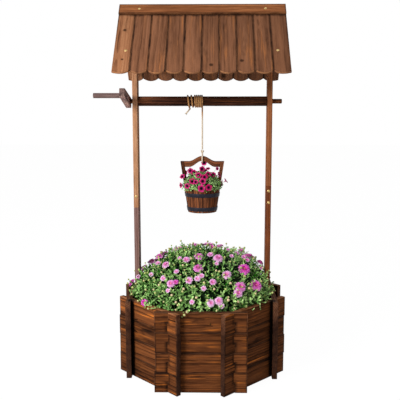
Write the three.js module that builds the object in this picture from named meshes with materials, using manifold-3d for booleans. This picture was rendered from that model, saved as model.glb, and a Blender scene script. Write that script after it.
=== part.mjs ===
// Wishing well planter: an octagonal planter of cross-lapped boards, two posts, a pitched board roof,
// and a windlass that raises a small stave bucket on a rope. Both planter and bucket hold plants.
// Millimetres, +Z up, +X to the right, +Y away from the front. The origin is the centre of the planter
// on the ground. As drawn it stands 1130 mm tall.
import * as THREE from "three";
import { mergeVertices } from "three/addons/utils/BufferGeometryUtils.js";
import Module from "manifold-3d";

// Clearances
const seatGap = 0.3; // between pieces that rest against or fit into one another
const pegPlay = 0.4; // round a peg in its hole
const plantGap = 1; // between foliage and the wood that it grows round
const overrun = 3; // how far a cutter reaches past the face that it cuts
const ropeGap = 0.7; // between neighbouring strands of rope

// Planter walls: eight sides of stacked boards, cross-lapped where they meet
const acrossFlats = 460; // over the outer faces of two opposite walls
const wallThickness = 16;
const courseHeight = 60;
const courseCount = 4;
const stubLength = 43.5; // board beyond the crossing, measured along its middle plane
const notchPlay = 0.7; // each side of a notch
const easedEdge = 1.2; // planed corner along a board's outline

// Floor of the planter: slats housed in three cleats
const cleatHeight = 18;
const cleatWidth = 40;
const cleatSpacing = 140;
const slatThickness = 12;
const slatCount = 6;
const slatGap = 8;
const slatHousing = 1;

// Posts, each of two lengths that are halved into each other
const postThickness = 15;
const postDepth = 48;
const postLapLength = 69;
const postLapAboveRim = 271.5; // from the planter's rim to the lower end of the lap

// Bucket. Its heights are measured up from its own bottom.
const bucketAboveRim = 259.5; // from the planter's rim to the bottom of the bucket
const bucketBottomRadius = 44.5;
const bucketFlareShare = 0.1487; // gain in radius for each millimetre of height
const bucketRimHeight = 78;
const stavesBetweenEars = 6; // on each side
const staveThickness = 9;
const staveGroove = 0.8;
const staveShoulderShare = 0.78; // of a stave's half width that stays at full radius
const bucketFloorRecess = 4;
const bucketFloorThickness = 8;
const bucketFloorHousing = 2;
const earThickness = 11;
const earTopHalfWidth = 11;
const handleTopHeight = 173;
const handleRise = 16; // of the arch in the middle
const handleEndDepth = 17.5;
const handleMiddleDepth = 14.9;
const handleThickness = 18;
const handleEase = 3;
const handleArchShare = 0.74; // of the half span, where the arch runs out level
const hoopThickness = 1.2;
const hoopWidth = 12;
const lowerHoopHeight = 11.6; // to the middle of the hoop
const upperHoopHeight = 55;

// Rope
const ropeDiameter = 4.8;
const ropeDrop = 153.9; // from the middle of the roller down to the knot
const knotDiameter = 12;
const knotAboveHandle = 13.6; // to the middle of the knot
const denseTurns = 4.25;
const looseTurns = 2;
const loosePitch = 11;
const tailDrop = 16; // from the underside of the winding down to the rope's loose end
const tailReach = 13; // how far the loose end hangs in front of the roller and to its left

// Windlass
const rollerDiameter = 29.5;
const pegDiameter = 14.2;
const rightPegStickout = 30.5; // beyond the right post
const armStandoff = 9.2; // between the left post and the crank arm
const armThickness = 16.5;
const armWidth = 26; // at the nose
const armTailWidth = 32;
const armTail = 28; // behind the axle
const crankThrow = 78; // from the axle to the grip
const armNose = 42; // beyond the grip
const armTilt = THREE.MathUtils.degToRad(11);
const armCorner = 4;
const gripDiameter = 15.2;
const gripLength = 83; // outside the arm
const turnedEase = 1.5; // rounded shoulder of a turned piece

// Roof
const roofPitch = THREE.MathUtils.degToRad(48.4);
const crankClearance = 29.4; // between the crank's sweep and the undersides of the gable frames
const vergeOverhang = 21.8; // of the roof boards beyond the gable frames
const eaveRun = 183.5; // from the ridge line out to the eave, level
const roofBoardCount = 10; // on each slope
const roofBoardThickness = 6;
const roofBoardGap = 0.6;
const scallopRise = 11; // how far the rounded end of a roof board stands out
const vergeRise = 4.5; // the same toward the outer corner of an end board
const scallopSteps = 12; // straight pieces of a rounded end
const ridgeCapWidth = 42;
const ridgeCapThickness = 6.5;
const ridgeCapEase = 1.5;
const battenWidth = 24;
const battenThickness = 12;
const battenHousing = 0.5;
const battenPostClearance = 2.7; // between the upper batten and the post below it
const battenEaveSetback = 62; // from the middle of the lower batten down the slope to the eave
const frameThickness = 15;
const frameDepth = 30;
const frameEaveSetback = 45;
const ridgeBeamWidth = 30;
const ridgeBeamDrop = 48; // from the ridge of the roof boards down to the beam's underside

// Planting
const soilBelowRim = 35;
const moundHeight = 152; // of foliage above the rim
const moundInset = 1; // of the widest foliage inside the walls' outer faces
const throatInset = 11; // of the foliage inside the walls' inner faces
const moundLumpShare = 0.03;
const bloomHeadroom = 17.5; // between the bucket's flowers and the ends of its handle
const bucketSpill = 4; // foliage beyond the rim, front and back

const manifold = await Module();
manifold.setup();

const planter = new THREE.Group();
export default planter;

// Finishes
const woods = {
  wall: { color: 0x6b3f26, roughness: 0.72 },
  roof: { color: 0x7b523c, roughness: 0.68 },
  trim: { color: 0x8f5a39, roughness: 0.68 },
  leftPost: { color: 0xa8714f, roughness: 0.7 },
  rightPost: { color: 0x8d583a, roughness: 0.7 },
  shade: { color: 0x553425, roughness: 0.75 },
  weathered: { color: 0x776663, roughness: 0.8 },
  stave: { color: 0x764832, roughness: 0.6 },
};
const others = {
  hoop: { color: 0x343236, roughness: 0.45, metalness: 0.8 },
  rope: { color: 0xa07952, roughness: 0.95 },
  soil: { color: 0x2b1f17, roughness: 1 },
  foliage: { color: 0x4a6a35, roughness: 0.9 },
  petunia: { color: 0x8c2a5c, roughness: 0.85 },
};

function addMesh(parent, name, geometry, finish) {
  const mesh = new THREE.Mesh(geometry, new THREE.MeshStandardMaterial({ metalness: 0, ...finish }));
  mesh.name = name;
  parent.add(mesh);
  return mesh;
}

// Geometry helpers

function closedSolid(geometry) {
  const bare = geometry.clone();
  bare.deleteAttribute("normal");
  bare.deleteAttribute("uv");
  const merged = mergeVertices(bare, 1e-4);
  const vertProperties = new Float32Array(merged.getAttribute("position").array);
  const triVerts = new Uint32Array(merged.index.array);
  return new manifold.Manifold(new manifold.Mesh({ numProp: 3, vertProperties, triVerts }));
}

function geometryOf(solid) {
  const { vertProperties, triVerts } = solid.getMesh();
  const geometry = new THREE.BufferGeometry();
  geometry.setAttribute("position", new THREE.BufferAttribute(new Float32Array(vertProperties), 3));
  geometry.setIndex(new THREE.BufferAttribute(new Uint32Array(triVerts), 1));
  const flat = geometry.toNonIndexed();
  flat.computeVertexNormals();
  return flat;
}

function join(geometries) {
  return geometryOf(geometries.map(closedSolid).reduce((sum, solid) => sum.add(solid)));
}

function cut(geometry, cutters) {
  const whole = closedSolid(geometry);
  return geometryOf(cutters.map(closedSolid).reduce((rest, cutter) => rest.subtract(cutter), whole));
}

function common(geometry, keep) {
  return geometryOf(closedSolid(geometry).intersect(closedSolid(keep)));
}

// A box given by its low and high corners.
function block(low, high) {
  const [x0, y0, z0] = low;
  const [x1, y1, z1] = high;
  const geometry = new THREE.BoxGeometry(x1 - x0, y1 - y0, z1 - z0);
  return geometry.translate((x0 + x1) / 2, (y0 + y1) / 2, (z0 + z1) / 2);
}

function shapeOf(points) {
  return new THREE.Shape(points.map(([x, y]) => new THREE.Vector2(x, y)));
}

// Turns a piece drawn in X and Y, and grown along Z, so that it is drawn in Y and Z and grows along X.
const drawnAcross = new THREE.Matrix4().set(0, 0, 1, 0, 1, 0, 0, 0, 0, 1, 0, 0, 0, 0, 0, 1);
// The same turn sets a piece that was revolved about Y upright.
const revolvedUpright = drawnAcross;
// Turns a piece revolved about Y so that it is revolved about X.
const revolvedAlongX = new THREE.Matrix4().set(0, 1, 0, 0, 0, 0, 1, 0, 1, 0, 0, 0, 0, 0, 0, 1);

// A profile in Y and Z carried from one X to another.
function barAlongX(shape, fromX, toX) {
  const settings = { depth: toX - fromX, bevelEnabled: false, curveSegments: 12 };
  return new THREE.ExtrudeGeometry(shape, settings).applyMatrix4(drawnAcross).translate(fromX, 0, 0);
}

// A turned piece about a line along X: points are [distance along X, radius].
function turnedAlongX(points, segments) {
  const profile = points.map(([along, radius]) => new THREE.Vector2(radius, along));
  return new THREE.LatheGeometry(profile, segments).applyMatrix4(revolvedAlongX);
}

// Skins a closed solid through rings that all have as many points, and closes both ends. The function
// flatten gives the two coordinates in which an end ring is an outline.
function loft(rings, flatten) {
  const count = rings[0].length;
  const index = [];
  for (let i = 0; i + 1 < rings.length; i++)
    for (let j = 0; j < count; j++) {
      const a = i * count + j;
      const b = i * count + ((j + 1) % count);
      index.push(a, b, b + count, a, b + count, a + count);
    }
  for (const end of [0, rings.length - 1]) {
    const outline = rings[end].map((point) => new THREE.Vector2(...flatten(point)));
    const turn = Math.sign(THREE.ShapeUtils.area(outline));
    for (const face of THREE.ShapeUtils.triangulateShape(outline, [])) {
      const same = Math.sign(THREE.ShapeUtils.area(face.map((k) => outline[k]))) === turn;
      const [a, b, c] = face.map((k) => end * count + k);
      index.push(...(same === end > 0 ? [a, b, c] : [a, c, b]));
    }
  }
  return outward(rings.flat(2), index);
}

// A solid from positions and faces, with every face turned round if they would make it inside out.
function outward(positions, index) {
  const at = (k) => new THREE.Vector3().fromArray(positions, 3 * k);
  let volume = 0;
  for (let i = 0; i < index.length; i += 3)
    volume += at(index[i]).dot(at(index[i + 1]).cross(at(index[i + 2])));
  const geometry = new THREE.BufferGeometry();
  geometry.setAttribute("position", new THREE.Float32BufferAttribute(positions, 3));
  geometry.setIndex(volume < 0 ? index.toReversed() : index);
  const flat = geometry.toNonIndexed();
  flat.computeVertexNormals();
  return flat;
}

const flattenLevel = ([x, y]) => [x, y];
const flattenAcross = ([, y, z]) => [y, z];

// A round tube of rope through points, with flat ends.
function ropeThrough(points, steps, sides) {
  const section = new THREE.Shape();
  for (let k = 0; k < sides; k++) {
    const turn = (k / sides) * 2 * Math.PI;
    const x = ropeRadius * Math.cos(turn);
    const y = ropeRadius * Math.sin(turn);
    if (k) section.lineTo(x, y);
    else section.moveTo(x, y);
  }
  const path = new THREE.CatmullRomCurve3(points, false, "centripetal");
  path.arcLengthDivisions = steps * 8;
  return new THREE.ExtrudeGeometry(section, { steps, extrudePath: path });
}

// Planter walls

const sideCount = 8;
const sideTurn = (2 * Math.PI) / sideCount;
const sideNames = ["front", "front_right", "right", "back_right", "back", "back_left", "left", "front_left"];
const rimHeight = courseHeight * courseCount;
const outerApothem = acrossFlats / 2;
const innerApothem = outerApothem - wallThickness;
const middleApothem = outerApothem - wallThickness / 2;
const crossingReach = middleApothem * Math.tan(sideTurn / 2);
const boardHalfLength = crossingReach + stubLength;
const notchDepth = courseHeight / 2 + seatGap / 2;

// The room that the neighbouring wall takes where it crosses a board, at the board's right or left end.
function notchCutter(end, fromZ, toZ) {
  const half = wallThickness / 2 + notchPlay;
  const long = 2 * wallThickness;
  const room = block([-long, -half, fromZ], [long, half, toZ]).rotateZ(end * sideTurn);
  return room.translate(end * crossingReach, -middleApothem, 0);
}

function wallBoard(notchedBelow) {
  const outline = shapeOf([
    [-boardHalfLength, 0],
    [boardHalfLength, 0],
    [boardHalfLength, courseHeight],
    [-boardHalfLength, courseHeight],
  ]);
  const geometry = new THREE.ExtrudeGeometry(outline, {
    depth: wallThickness - 2 * easedEdge,
    bevelThickness: easedEdge,
    bevelSize: easedEdge,
    bevelOffset: -easedEdge,
    bevelSegments: 1,
  });
  // Upright, its outer face toward -Y.
  geometry.rotateX(Math.PI / 2).translate(0, wallThickness - easedEdge - outerApothem, 0);
  const fromZ = notchedBelow ? -overrun : courseHeight - notchDepth;
  const toZ = notchedBelow ? notchDepth : courseHeight + overrun;
  return cut(geometry, [-1, 1].map((end) => notchCutter(end, fromZ, toZ)));
}

function addWalls() {
  for (let side = 0; side < sideCount; side++) {
    const wall = new THREE.Group();
    wall.rotation.z = side * sideTurn;
    planter.add(wall);
    for (let course = 0; course < courseCount; course++) {
      const name = `wall_${sideNames[side]}_board_${course + 1}`;
      const board = addMesh(wall, name, wallBoard(side % 2 === 0), woods.wall);
      board.position.z = course * courseHeight;
    }
  }
}

// An upright eight-sided prism with its flats where the walls are.
function octagonPrism(apothem, fromZ, toZ) {
  const cornerRadius = apothem / Math.cos(sideTurn / 2);
  const corners = [];
  for (let side = 0; side < sideCount; side++) {
    const turn = (side + 1 / 2) * sideTurn;
    corners.push([cornerRadius * Math.cos(turn), cornerRadius * Math.sin(turn)]);
  }
  const geometry = new THREE.ExtrudeGeometry(shapeOf(corners), { depth: toZ - fromZ, bevelEnabled: false });
  return geometry.translate(0, 0, fromZ);
}

// Floor

const fillApothem = innerApothem - seatGap;
const slatLow = cleatHeight - slatHousing;
const floorTop = slatLow + slatThickness;

function addFloor() {
  const pieces = [];
  for (const x of [-cleatSpacing, 0, cleatSpacing]) {
    const half = cleatWidth / 2;
    pieces.push(block([x - half, -innerApothem, 0], [x + half, innerApothem, cleatHeight]));
  }
  const slatPitch = (2 * fillApothem + slatGap) / slatCount;
  for (let k = 0; k < slatCount; k++) {
    const near = k * slatPitch - fillApothem;
    const far = near + slatPitch - slatGap;
    pieces.push(block([-innerApothem, near, slatLow], [innerApothem, far, floorTop]));
  }
  const panel = common(join(pieces), octagonPrism(fillApothem, -overrun, floorTop + overrun));
  addMesh(planter, "floor_panel", panel, woods.shade);
}

// Heights, from the rim of the planter up: bucket, knot, axle, and a roof that clears the crank

const bucketHeight = rimHeight + bucketAboveRim;
const knotHeight = bucketHeight + handleTopHeight + knotAboveHandle;
const axleHeight = knotHeight + ropeDrop;
const crankSweep = Math.hypot(crankThrow + armNose, armWidth / 2);
const frameTopDepth = roofBoardThickness + seatGap;
const frameLowDepth = frameTopDepth + frameDepth;
const boardRidgeHeight = axleHeight + (crankSweep + crankClearance + frameLowDepth) / Math.cos(roofPitch);

// Widths: posts stand inside the walls, and the gable frames and the crank pass outside the posts

const postOuterX = innerApothem - seatGap;
const postInnerX = postOuterX - postThickness;
const frameInnerX = postOuterX + seatGap;
const frameOuterX = frameInnerX + frameThickness;
const roofLength = 2 * (frameOuterX + vergeOverhang);

// Roof lines. A place on a slope is given by its distance down the slope from the ridge of the boards'
// upper faces, and by its depth under those faces.

const slopeLength = eaveRun / Math.cos(roofPitch);

function onSlope(downSlope, depth) {
  const y = depth * Math.sin(roofPitch) - downSlope * Math.cos(roofPitch);
  const z = boardRidgeHeight - downSlope * Math.sin(roofPitch) - depth * Math.cos(roofPitch);
  return [y, z];
}

// How far down the slope a place at some depth lies when it is so far from the middle plane.
function downSlopeAt(depth, fromMiddle) {
  return (fromMiddle + depth * Math.sin(roofPitch)) / Math.cos(roofPitch);
}

// The height just under the roof boards.
function headroomAt(y) {
  return boardRidgeHeight - Math.abs(y) * Math.tan(roofPitch) - frameTopDepth / Math.cos(roofPitch);
}

// The upper end of a profile that follows both slopes, from the back to the front.
function gable(halfWidth) {
  return [
    [halfWidth, headroomAt(halfWidth)],
    [0, headroomAt(0)],
    [-halfWidth, headroomAt(halfWidth)],
  ];
}

// Posts. The left one is drawn, and the right one is the same post turned half round, so that its lap
// shows the other piece in front.

const lapLow = rimHeight + postLapAboveRim;
const lapHigh = lapLow + postLapLength;

function lowerPost() {
  const half = postDepth / 2;
  const outline = shapeOf([
    [-half, floorTop],
    [half, floorTop],
    [half, lapHigh],
    [seatGap / 2, lapHigh],
    [seatGap / 2, lapLow],
    [-half, lapLow],
  ]);
  return barAlongX(outline, -postOuterX, -postInnerX);
}

function upperPost() {
  const half = postDepth / 2;
  const outline = shapeOf([
    [-half, lapLow + seatGap],
    [-seatGap / 2, lapLow + seatGap],
    [-seatGap / 2, lapHigh + seatGap],
    [half, lapHigh + seatGap],
    ...gable(half),
  ]);
  outline.holes.push(new THREE.Path().absarc(0, axleHeight, pegDiameter / 2 + pegPlay, 0, 2 * Math.PI));
  return barAlongX(outline, -postOuterX, -postInnerX);
}

function addPosts() {
  for (const name of ["left", "right"]) {
    const post = new THREE.Group();
    post.rotation.z = name === "left" ? 0 : Math.PI;
    planter.add(post);
    const finish = name === "left" ? woods.leftPost : woods.rightPost;
    addMesh(post, `${name}_lower_post`, lowerPost(), finish);
    addMesh(post, `${name}_upper_post`, upperPost(), finish);
  }
}

// Roof panels: boards with rounded lower ends on two battens

const roofBoardPitch = roofLength / roofBoardCount;
const roofBoardWidth = roofBoardPitch - roofBoardGap;
const battenLowDepth = roofBoardThickness - battenHousing + battenThickness;
const upperBattenReach = downSlopeAt(battenLowDepth, postDepth / 2 + battenPostClearance) + battenWidth / 2;
const lowerBattenReach = slopeLength - battenEaveSetback;

// The outline of one roof board, up the slope along +Y. Its lower end is an arc to each side of its middle,
// which rises so far at the board's left and right edge.
function roofBoardOutline(leftRise, rightRise) {
  const half = roofBoardWidth / 2;
  const upperEnd = -downSlopeAt(roofBoardThickness, seatGap);
  const points = [[-half, upperEnd]];
  for (let k = 0; k <= scallopSteps; k++) {
    const x = THREE.MathUtils.lerp(-half, half, k / scallopSteps);
    const rise = x < 0 ? leftRise : rightRise;
    const arcRadius = (half * half + rise * rise) / (2 * rise);
    points.push([x, arcRadius - Math.sqrt(arcRadius * arcRadius - x * x) - slopeLength]);
  }
  points.push([half, upperEnd]);
  return shapeOf(points);
}

function roofPanel() {
  const pieces = [];
  for (let k = 0; k < roofBoardCount; k++) {
    const leftRise = k === 0 ? vergeRise : scallopRise;
    const rightRise = k === roofBoardCount - 1 ? vergeRise : scallopRise;
    const outline = roofBoardOutline(leftRise, rightRise);
    const settings = { depth: roofBoardThickness, bevelEnabled: false };
    const board = new THREE.ExtrudeGeometry(outline, settings);
    const x = (k + 1 / 2) * roofBoardPitch - roofLength / 2;
    pieces.push(board.translate(x, 0, -roofBoardThickness));
  }
  for (const reach of [upperBattenReach, lowerBattenReach]) {
    const low = [-postOuterX, -reach - battenWidth / 2, -battenLowDepth];
    const high = [postOuterX, battenWidth / 2 - reach, battenThickness - battenLowDepth];
    pieces.push(block(low, high));
  }
  return join(pieces);
}

function ridgeCap() {
  const low = -seatGap; // depths above the boards are negative
  const high = -ridgeCapThickness;
  const reach = downSlopeAt(high, 0) + ridgeCapWidth;
  const profile = shapeOf([
    onSlope(downSlopeAt(low, seatGap / 2), low),
    onSlope(downSlopeAt(high, seatGap / 2), high),
    onSlope(reach - ridgeCapEase, high),
    onSlope(reach, high + ridgeCapEase),
    onSlope(reach, low),
  ]);
  return barAlongX(profile, -roofLength / 2, roofLength / 2);
}

// Two rafters joined at the ridge, which the end boards are screwed to.
function gableFrame(fromX, toX) {
  const reach = slopeLength - frameEaveSetback;
  const front = [
    onSlope(downSlopeAt(frameTopDepth, 0), frameTopDepth),
    onSlope(reach, frameTopDepth),
    onSlope(reach, frameLowDepth),
    onSlope(downSlopeAt(frameLowDepth, 0), frameLowDepth),
  ];
  const back = front.slice(1, 3).map(([y, z]) => [-y, z]);
  return barAlongX(shapeOf([...front, ...back.toReversed()]), fromX, toX);
}

function addRoof() {
  // The two slopes are alike: the back one is the front one turned half round.
  for (const name of ["front", "back"]) {
    const slope = new THREE.Group();
    slope.rotation.z = name === "front" ? 0 : Math.PI;
    planter.add(slope);
    const panel = addMesh(slope, `${name}_roof_panel`, roofPanel(), woods.roof);
    panel.rotation.x = roofPitch;
    panel.position.z = boardRidgeHeight;
    addMesh(slope, `${name}_ridge_cap`, ridgeCap(), woods.trim);
  }
  addMesh(planter, "left_gable_frame", gableFrame(-frameOuterX, -frameInnerX), woods.shade);
  addMesh(planter, "right_gable_frame", gableFrame(frameInnerX, frameOuterX), woods.shade);

  const half = ridgeBeamWidth / 2;
  const foot = boardRidgeHeight - ridgeBeamDrop;
  const beamEnd = postInnerX - seatGap;
  const beamProfile = shapeOf([[-half, foot], [half, foot], ...gable(half)]);
  addMesh(planter, "ridge_beam", barAlongX(beamProfile, -beamEnd, beamEnd), woods.shade);
}

// Windlass: a turned roller with a peg at each end, and a crank on the left peg

const armInnerX = -postOuterX - armStandoff;
const armOuterX = armInnerX - armThickness;
const rollerRadius = rollerDiameter / 2;
const pegRadius = pegDiameter / 2;
const gripRadius = gripDiameter / 2;

// The roller and its two pegs, turned from one piece.
function turnedRoller() {
  const shoulder = postInnerX - seatGap;
  const rightEnd = postOuterX + rightPegStickout;
  const profile = [
    [armOuterX, 0],
    [armOuterX, pegRadius],
    [-shoulder, pegRadius],
    [-shoulder, rollerRadius - turnedEase],
    [turnedEase - shoulder, rollerRadius],
    [shoulder - turnedEase, rollerRadius],
    [shoulder, rollerRadius - turnedEase],
    [shoulder, pegRadius],
    [rightEnd - turnedEase, pegRadius],
    [rightEnd, pegRadius - turnedEase],
    [rightEnd, 0],
  ];
  return turnedAlongX(profile, 24);
}

// The crank arm, drawn with its length toward the front. It narrows toward its nose.
function crankArm() {
  const tailHigh = armTailWidth / 2 - armCorner;
  const noseHigh = armWidth / 2 - armCorner;
  const tail = armTail - armCorner;
  const nose = armCorner - crankThrow - armNose;
  const quarter = Math.PI / 2;
  const outline = new THREE.Shape();
  outline.absarc(tail, tailHigh, armCorner, 0, quarter, false);
  outline.absarc(nose, noseHigh, armCorner, quarter, 2 * quarter, false);
  outline.absarc(nose, -noseHigh, armCorner, 2 * quarter, 3 * quarter, false);
  outline.absarc(tail, -tailHigh, armCorner, 3 * quarter, 4 * quarter, false);
  outline.holes.push(new THREE.Path().absarc(0, 0, pegRadius + seatGap, 0, 2 * Math.PI));
  outline.holes.push(new THREE.Path().absarc(-crankThrow, 0, gripRadius + seatGap, 0, 2 * Math.PI));
  return barAlongX(outline, armOuterX, armInnerX);
}

function crankGrip() {
  const end = armOuterX - gripLength;
  const profile = [
    [end, 0],
    [end, gripRadius - turnedEase],
    [end + turnedEase, gripRadius],
    [armInnerX, gripRadius],
    [armInnerX, 0],
  ];
  return turnedAlongX(profile, 20);
}

function addWindlass() {
  const windlass = new THREE.Group();
  windlass.position.z = axleHeight;
  planter.add(windlass);
  addMesh(windlass, "windlass_roller", turnedRoller(), woods.shade);
  addMesh(windlass, "crank_arm", crankArm(), woods.weathered).rotation.x = -armTilt;
  const grip = addMesh(windlass, "crank_grip", crankGrip(), woods.weathered);
  grip.position.set(0, -crankThrow * Math.cos(armTilt), crankThrow * Math.sin(armTilt));
  addMesh(windlass, "rope_winding", ropeWinding(), others.rope);
}

// Rope: the winding on the roller, the fall to the knot, the knot, and the loop round the handle

const ropeRadius = ropeDiameter / 2;
const windingRadius = rollerRadius + ropeRadius + seatGap;
const strandPitch = ropeDiameter + ropeGap;
const stepsPerTurn = 24;
const firstLooseTurns = 1 / 2; // turns from the underside to the top, where the loose turns begin
const crossingTurns = 1 / 4; // turns in which the rope's start crosses under the first loose turn
const crossingShare = 1.3; // of the strand pitch, by which that start lies further right
const liftedTurns = 0.1; // turns for which the start stays outside the strand that it crosses
const seatedTurns = 0.28; // turns after which it lies on the roller

// Where the rope is after so many turns on the roller, counted from the underside, where it starts. It
// goes up the back and comes down the front. The start runs outside the first loose turn; then come the
// loose turns and the dense ones, which end in the middle of the roller at the front.
function woundPoint(turns) {
  const denseStart = -strandPitch * denseTurns;
  const past = turns - firstLooseTurns - looseTurns;
  const loosePast = Math.min(Math.max(past, -looseTurns), 0);
  const crossing = 1 - THREE.MathUtils.smoothstep(turns, 0, crossingTurns);
  const lifted = 1 - THREE.MathUtils.smoothstep(turns, liftedTurns, seatedTurns);
  const strands = Math.max(past, 0) + crossingShare * crossing;
  const x = denseStart + loosePitch * loosePast + strandPitch * strands;
  const radius = windingRadius + strandPitch * lifted;
  const angle = -2 * Math.PI * turns - Math.PI / 2;
  return new THREE.Vector3(x, -radius * Math.cos(angle), radius * Math.sin(angle));
}

// The loose end, as shares of its reach to the left and to the front, and of its drop.
const tailShares = [
  [1, 1, 1],
  [0.5, 1, 0.55],
  [0.17, 0.75, 0.18],
  [0, 0.4, 0.02],
];

function windingPoints() {
  const start = woundPoint(0);
  const points = tailShares.map(
    ([left, front, down]) =>
      new THREE.Vector3(start.x - tailReach * left, -tailReach * front, start.z - tailDrop * down),
  );
  const totalTurns = firstLooseTurns + looseTurns + denseTurns;
  const count = Math.round(totalTurns * stepsPerTurn);
  for (let k = 0; k <= count; k++) points.push(woundPoint((k / count) * totalTurns));
  const last = points.at(-1);
  points.push(new THREE.Vector3(last.x, last.y, last.z - ropeRadius));
  points.push(new THREE.Vector3(last.x, last.y, last.z - ropeDiameter));
  return points;
}

// The least clear distance between strands that lie more than half a turn apart along the rope.
function leastStrandGap(points) {
  const apart = stepsPerTurn / 2;
  let least = Infinity;
  for (let i = 0; i < points.length; i++)
    for (let j = i + apart; j < points.length; j++)
      least = Math.min(least, points[i].distanceTo(points[j]) - ropeDiameter);
  return least;
}

function ropeWinding() {
  const points = windingPoints();
  console.log(`rope winding: least gap between strands ${leastStrandGap(points).toFixed(2)} mm`);
  return ropeThrough(points, points.length - 1, 6);
}

// The knot: turns of rope drawn tight, as a ball with furrows between them.
const knotRadius = knotDiameter / 2;
const knotSteps = 12;
const furrowSteps = [5, 8];

function knot() {
  const profile = [new THREE.Vector2(0, -knotRadius)];
  for (let k = 1; k < knotSteps; k++) {
    const turn = (k / knotSteps - 1 / 2) * Math.PI;
    const radius = furrowSteps.includes(k) ? knotRadius - ropeRadius / 4 : knotRadius;
    profile.push(new THREE.Vector2(radius * Math.cos(turn), radius * Math.sin(turn)));
  }
  profile.push(new THREE.Vector2(0, knotRadius));
  return new THREE.LatheGeometry(profile, knotSteps).applyMatrix4(revolvedUpright);
}

// Half of the loop, as shares of its half width out from the handle's middle plane and of its height
// down from the knot. It parts over the handle and passes under it.
const loopShares = [
  [0.29, 0.04],
  [0.64, 0.13],
  [0.94, 0.27],
  [1, 0.47],
  [1, 0.74],
  [0.86, 0.94],
  [0.5, 1],
];

function handleLoop() {
  const halfWidth = handleThickness / 2 + ropeRadius + ropeGap;
  const high = -knotRadius - seatGap;
  const low = -knotAboveHandle - handleMiddleDepth - ropeRadius - seatGap;
  const legs = loopShares.map(([out, down]) => [halfWidth * out, high + (low - high) * down]);
  legs.unshift([ropeRadius + ropeGap / 2, high]);
  const points = legs.map(([y, z]) => new THREE.Vector3(0, -y, z));
  points.push(new THREE.Vector3(0, 0, low));
  for (const [y, z] of legs.toReversed()) points.push(new THREE.Vector3(0, y, z));
  return ropeThrough(points, 28, 8);
}

function addHangingRope() {
  const fallTop = axleHeight - ropeDiameter - seatGap;
  const fallLow = knotHeight + knotRadius + seatGap;
  const fall = new THREE.CylinderGeometry(ropeRadius, ropeRadius, fallTop - fallLow, 8).rotateX(Math.PI / 2);
  addMesh(planter, "rope_fall", fall, others.rope).position.set(0, -windingRadius, (fallTop + fallLow) / 2);
  addMesh(planter, "rope_knot", knot(), others.rope).position.set(0, -windingRadius, knotHeight);
  addMesh(planter, "rope_loop", handleLoop(), others.rope).position.set(0, -windingRadius, knotHeight);
}

// Bucket. All its pieces are drawn about its own upright axis, with its bottom at zero.

const staveCount = 2 * (stavesBetweenEars + 1);
const staveTurn = (2 * Math.PI) / staveCount;
const earTopHeight = handleTopHeight - handleRise;
const bucketRadius = (height) => bucketBottomRadius + bucketFlareShare * height;
const earInnerX = (height) => bucketRadius(height) - earThickness;
const rimRadius = bucketRadius(bucketRimHeight);
const bucketFloorTop = bucketFloorRecess + bucketFloorThickness;

function polar(radius, angle, height) {
  return [radius * Math.cos(angle), radius * Math.sin(angle), height];
}

// One level of a run of staves: along the outer faces, with a groove at each joint, and back inside.
function staveRing(height, firstStave, lastStave) {
  const outer = bucketRadius(height);
  const play = seatGap / outer;
  const from = (firstStave - 1 / 2) * staveTurn + play;
  const to = (lastStave + 1 / 2) * staveTurn - play;
  const ring = [polar(outer - staveGroove, from, height)];
  for (let stave = firstStave; stave <= lastStave; stave++) {
    for (const share of [-staveShoulderShare, 0, staveShoulderShare])
      ring.push(polar(outer, (stave + share / 2) * staveTurn, height));
    const joint = stave === lastStave ? to : (stave + 1 / 2) * staveTurn;
    ring.push(polar(outer - staveGroove, joint, height));
  }
  const steps = 2 * stavesBetweenEars;
  const inner = outer - staveThickness;
  for (let k = steps; k >= 0; k--) ring.push(polar(inner, from + (k / steps) * (to - from), height));
  return ring;
}

function bucketFloor() {
  const reach = (height) => bucketRadius(height) - staveThickness + bucketFloorHousing;
  const profile = [
    new THREE.Vector2(0, bucketFloorRecess),
    new THREE.Vector2(reach(bucketFloorRecess), bucketFloorRecess),
    new THREE.Vector2(reach(bucketFloorTop), bucketFloorTop),
    new THREE.Vector2(0, bucketFloorTop),
  ];
  const disc = new THREE.LatheGeometry(profile, 4 * staveCount).applyMatrix4(revolvedUpright);
  const clear = earInnerX(0) - seatGap;
  const high = bucketFloorTop + overrun;
  const cutters = [
    block([-rimRadius, -rimRadius, -overrun], [-clear, rimRadius, high]),
    block([clear, -rimRadius, -overrun], [rimRadius, rimRadius, high]),
  ];
  return cut(disc, cutters);
}

// The staves of both sides, and the floor that is housed in them.
function bucketTub() {
  const pieces = [bucketFloor()];
  for (const first of [1, stavesBetweenEars + 2]) {
    const last = first + stavesBetweenEars - 1;
    pieces.push(loft([staveRing(0, first, last), staveRing(bucketRimHeight, first, last)], flattenLevel));
  }
  return join(pieces);
}

// One level of an ear: a stave's curved face outside and a flat face inside. Above the rim it tapers.
function earRing(height) {
  const outer = bucketRadius(height);
  const inner = earInnerX(height);
  const rimHalfWidth = rimRadius * Math.sin(staveTurn / 2);
  const share = Math.max(0, (height - bucketRimHeight) / (earTopHeight - bucketRimHeight));
  const tapered = Math.asin(THREE.MathUtils.lerp(rimHalfWidth, earTopHalfWidth, share) / outer);
  const half = share > 0 ? tapered : staveTurn / 2;
  return [
    polar(outer - staveGroove, -half, height),
    polar(outer, -half * staveShoulderShare, height),
    polar(outer, 0, height),
    polar(outer, half * staveShoulderShare, height),
    polar(outer - staveGroove, half, height),
    [inner, inner * Math.tan(half), height],
    [inner, -inner * Math.tan(half), height],
  ];
}

function bucketEar() {
  const levels = [0, bucketRimHeight, (bucketRimHeight + earTopHeight) / 2, earTopHeight];
  return loft(levels.map(earRing), flattenLevel);
}

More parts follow.
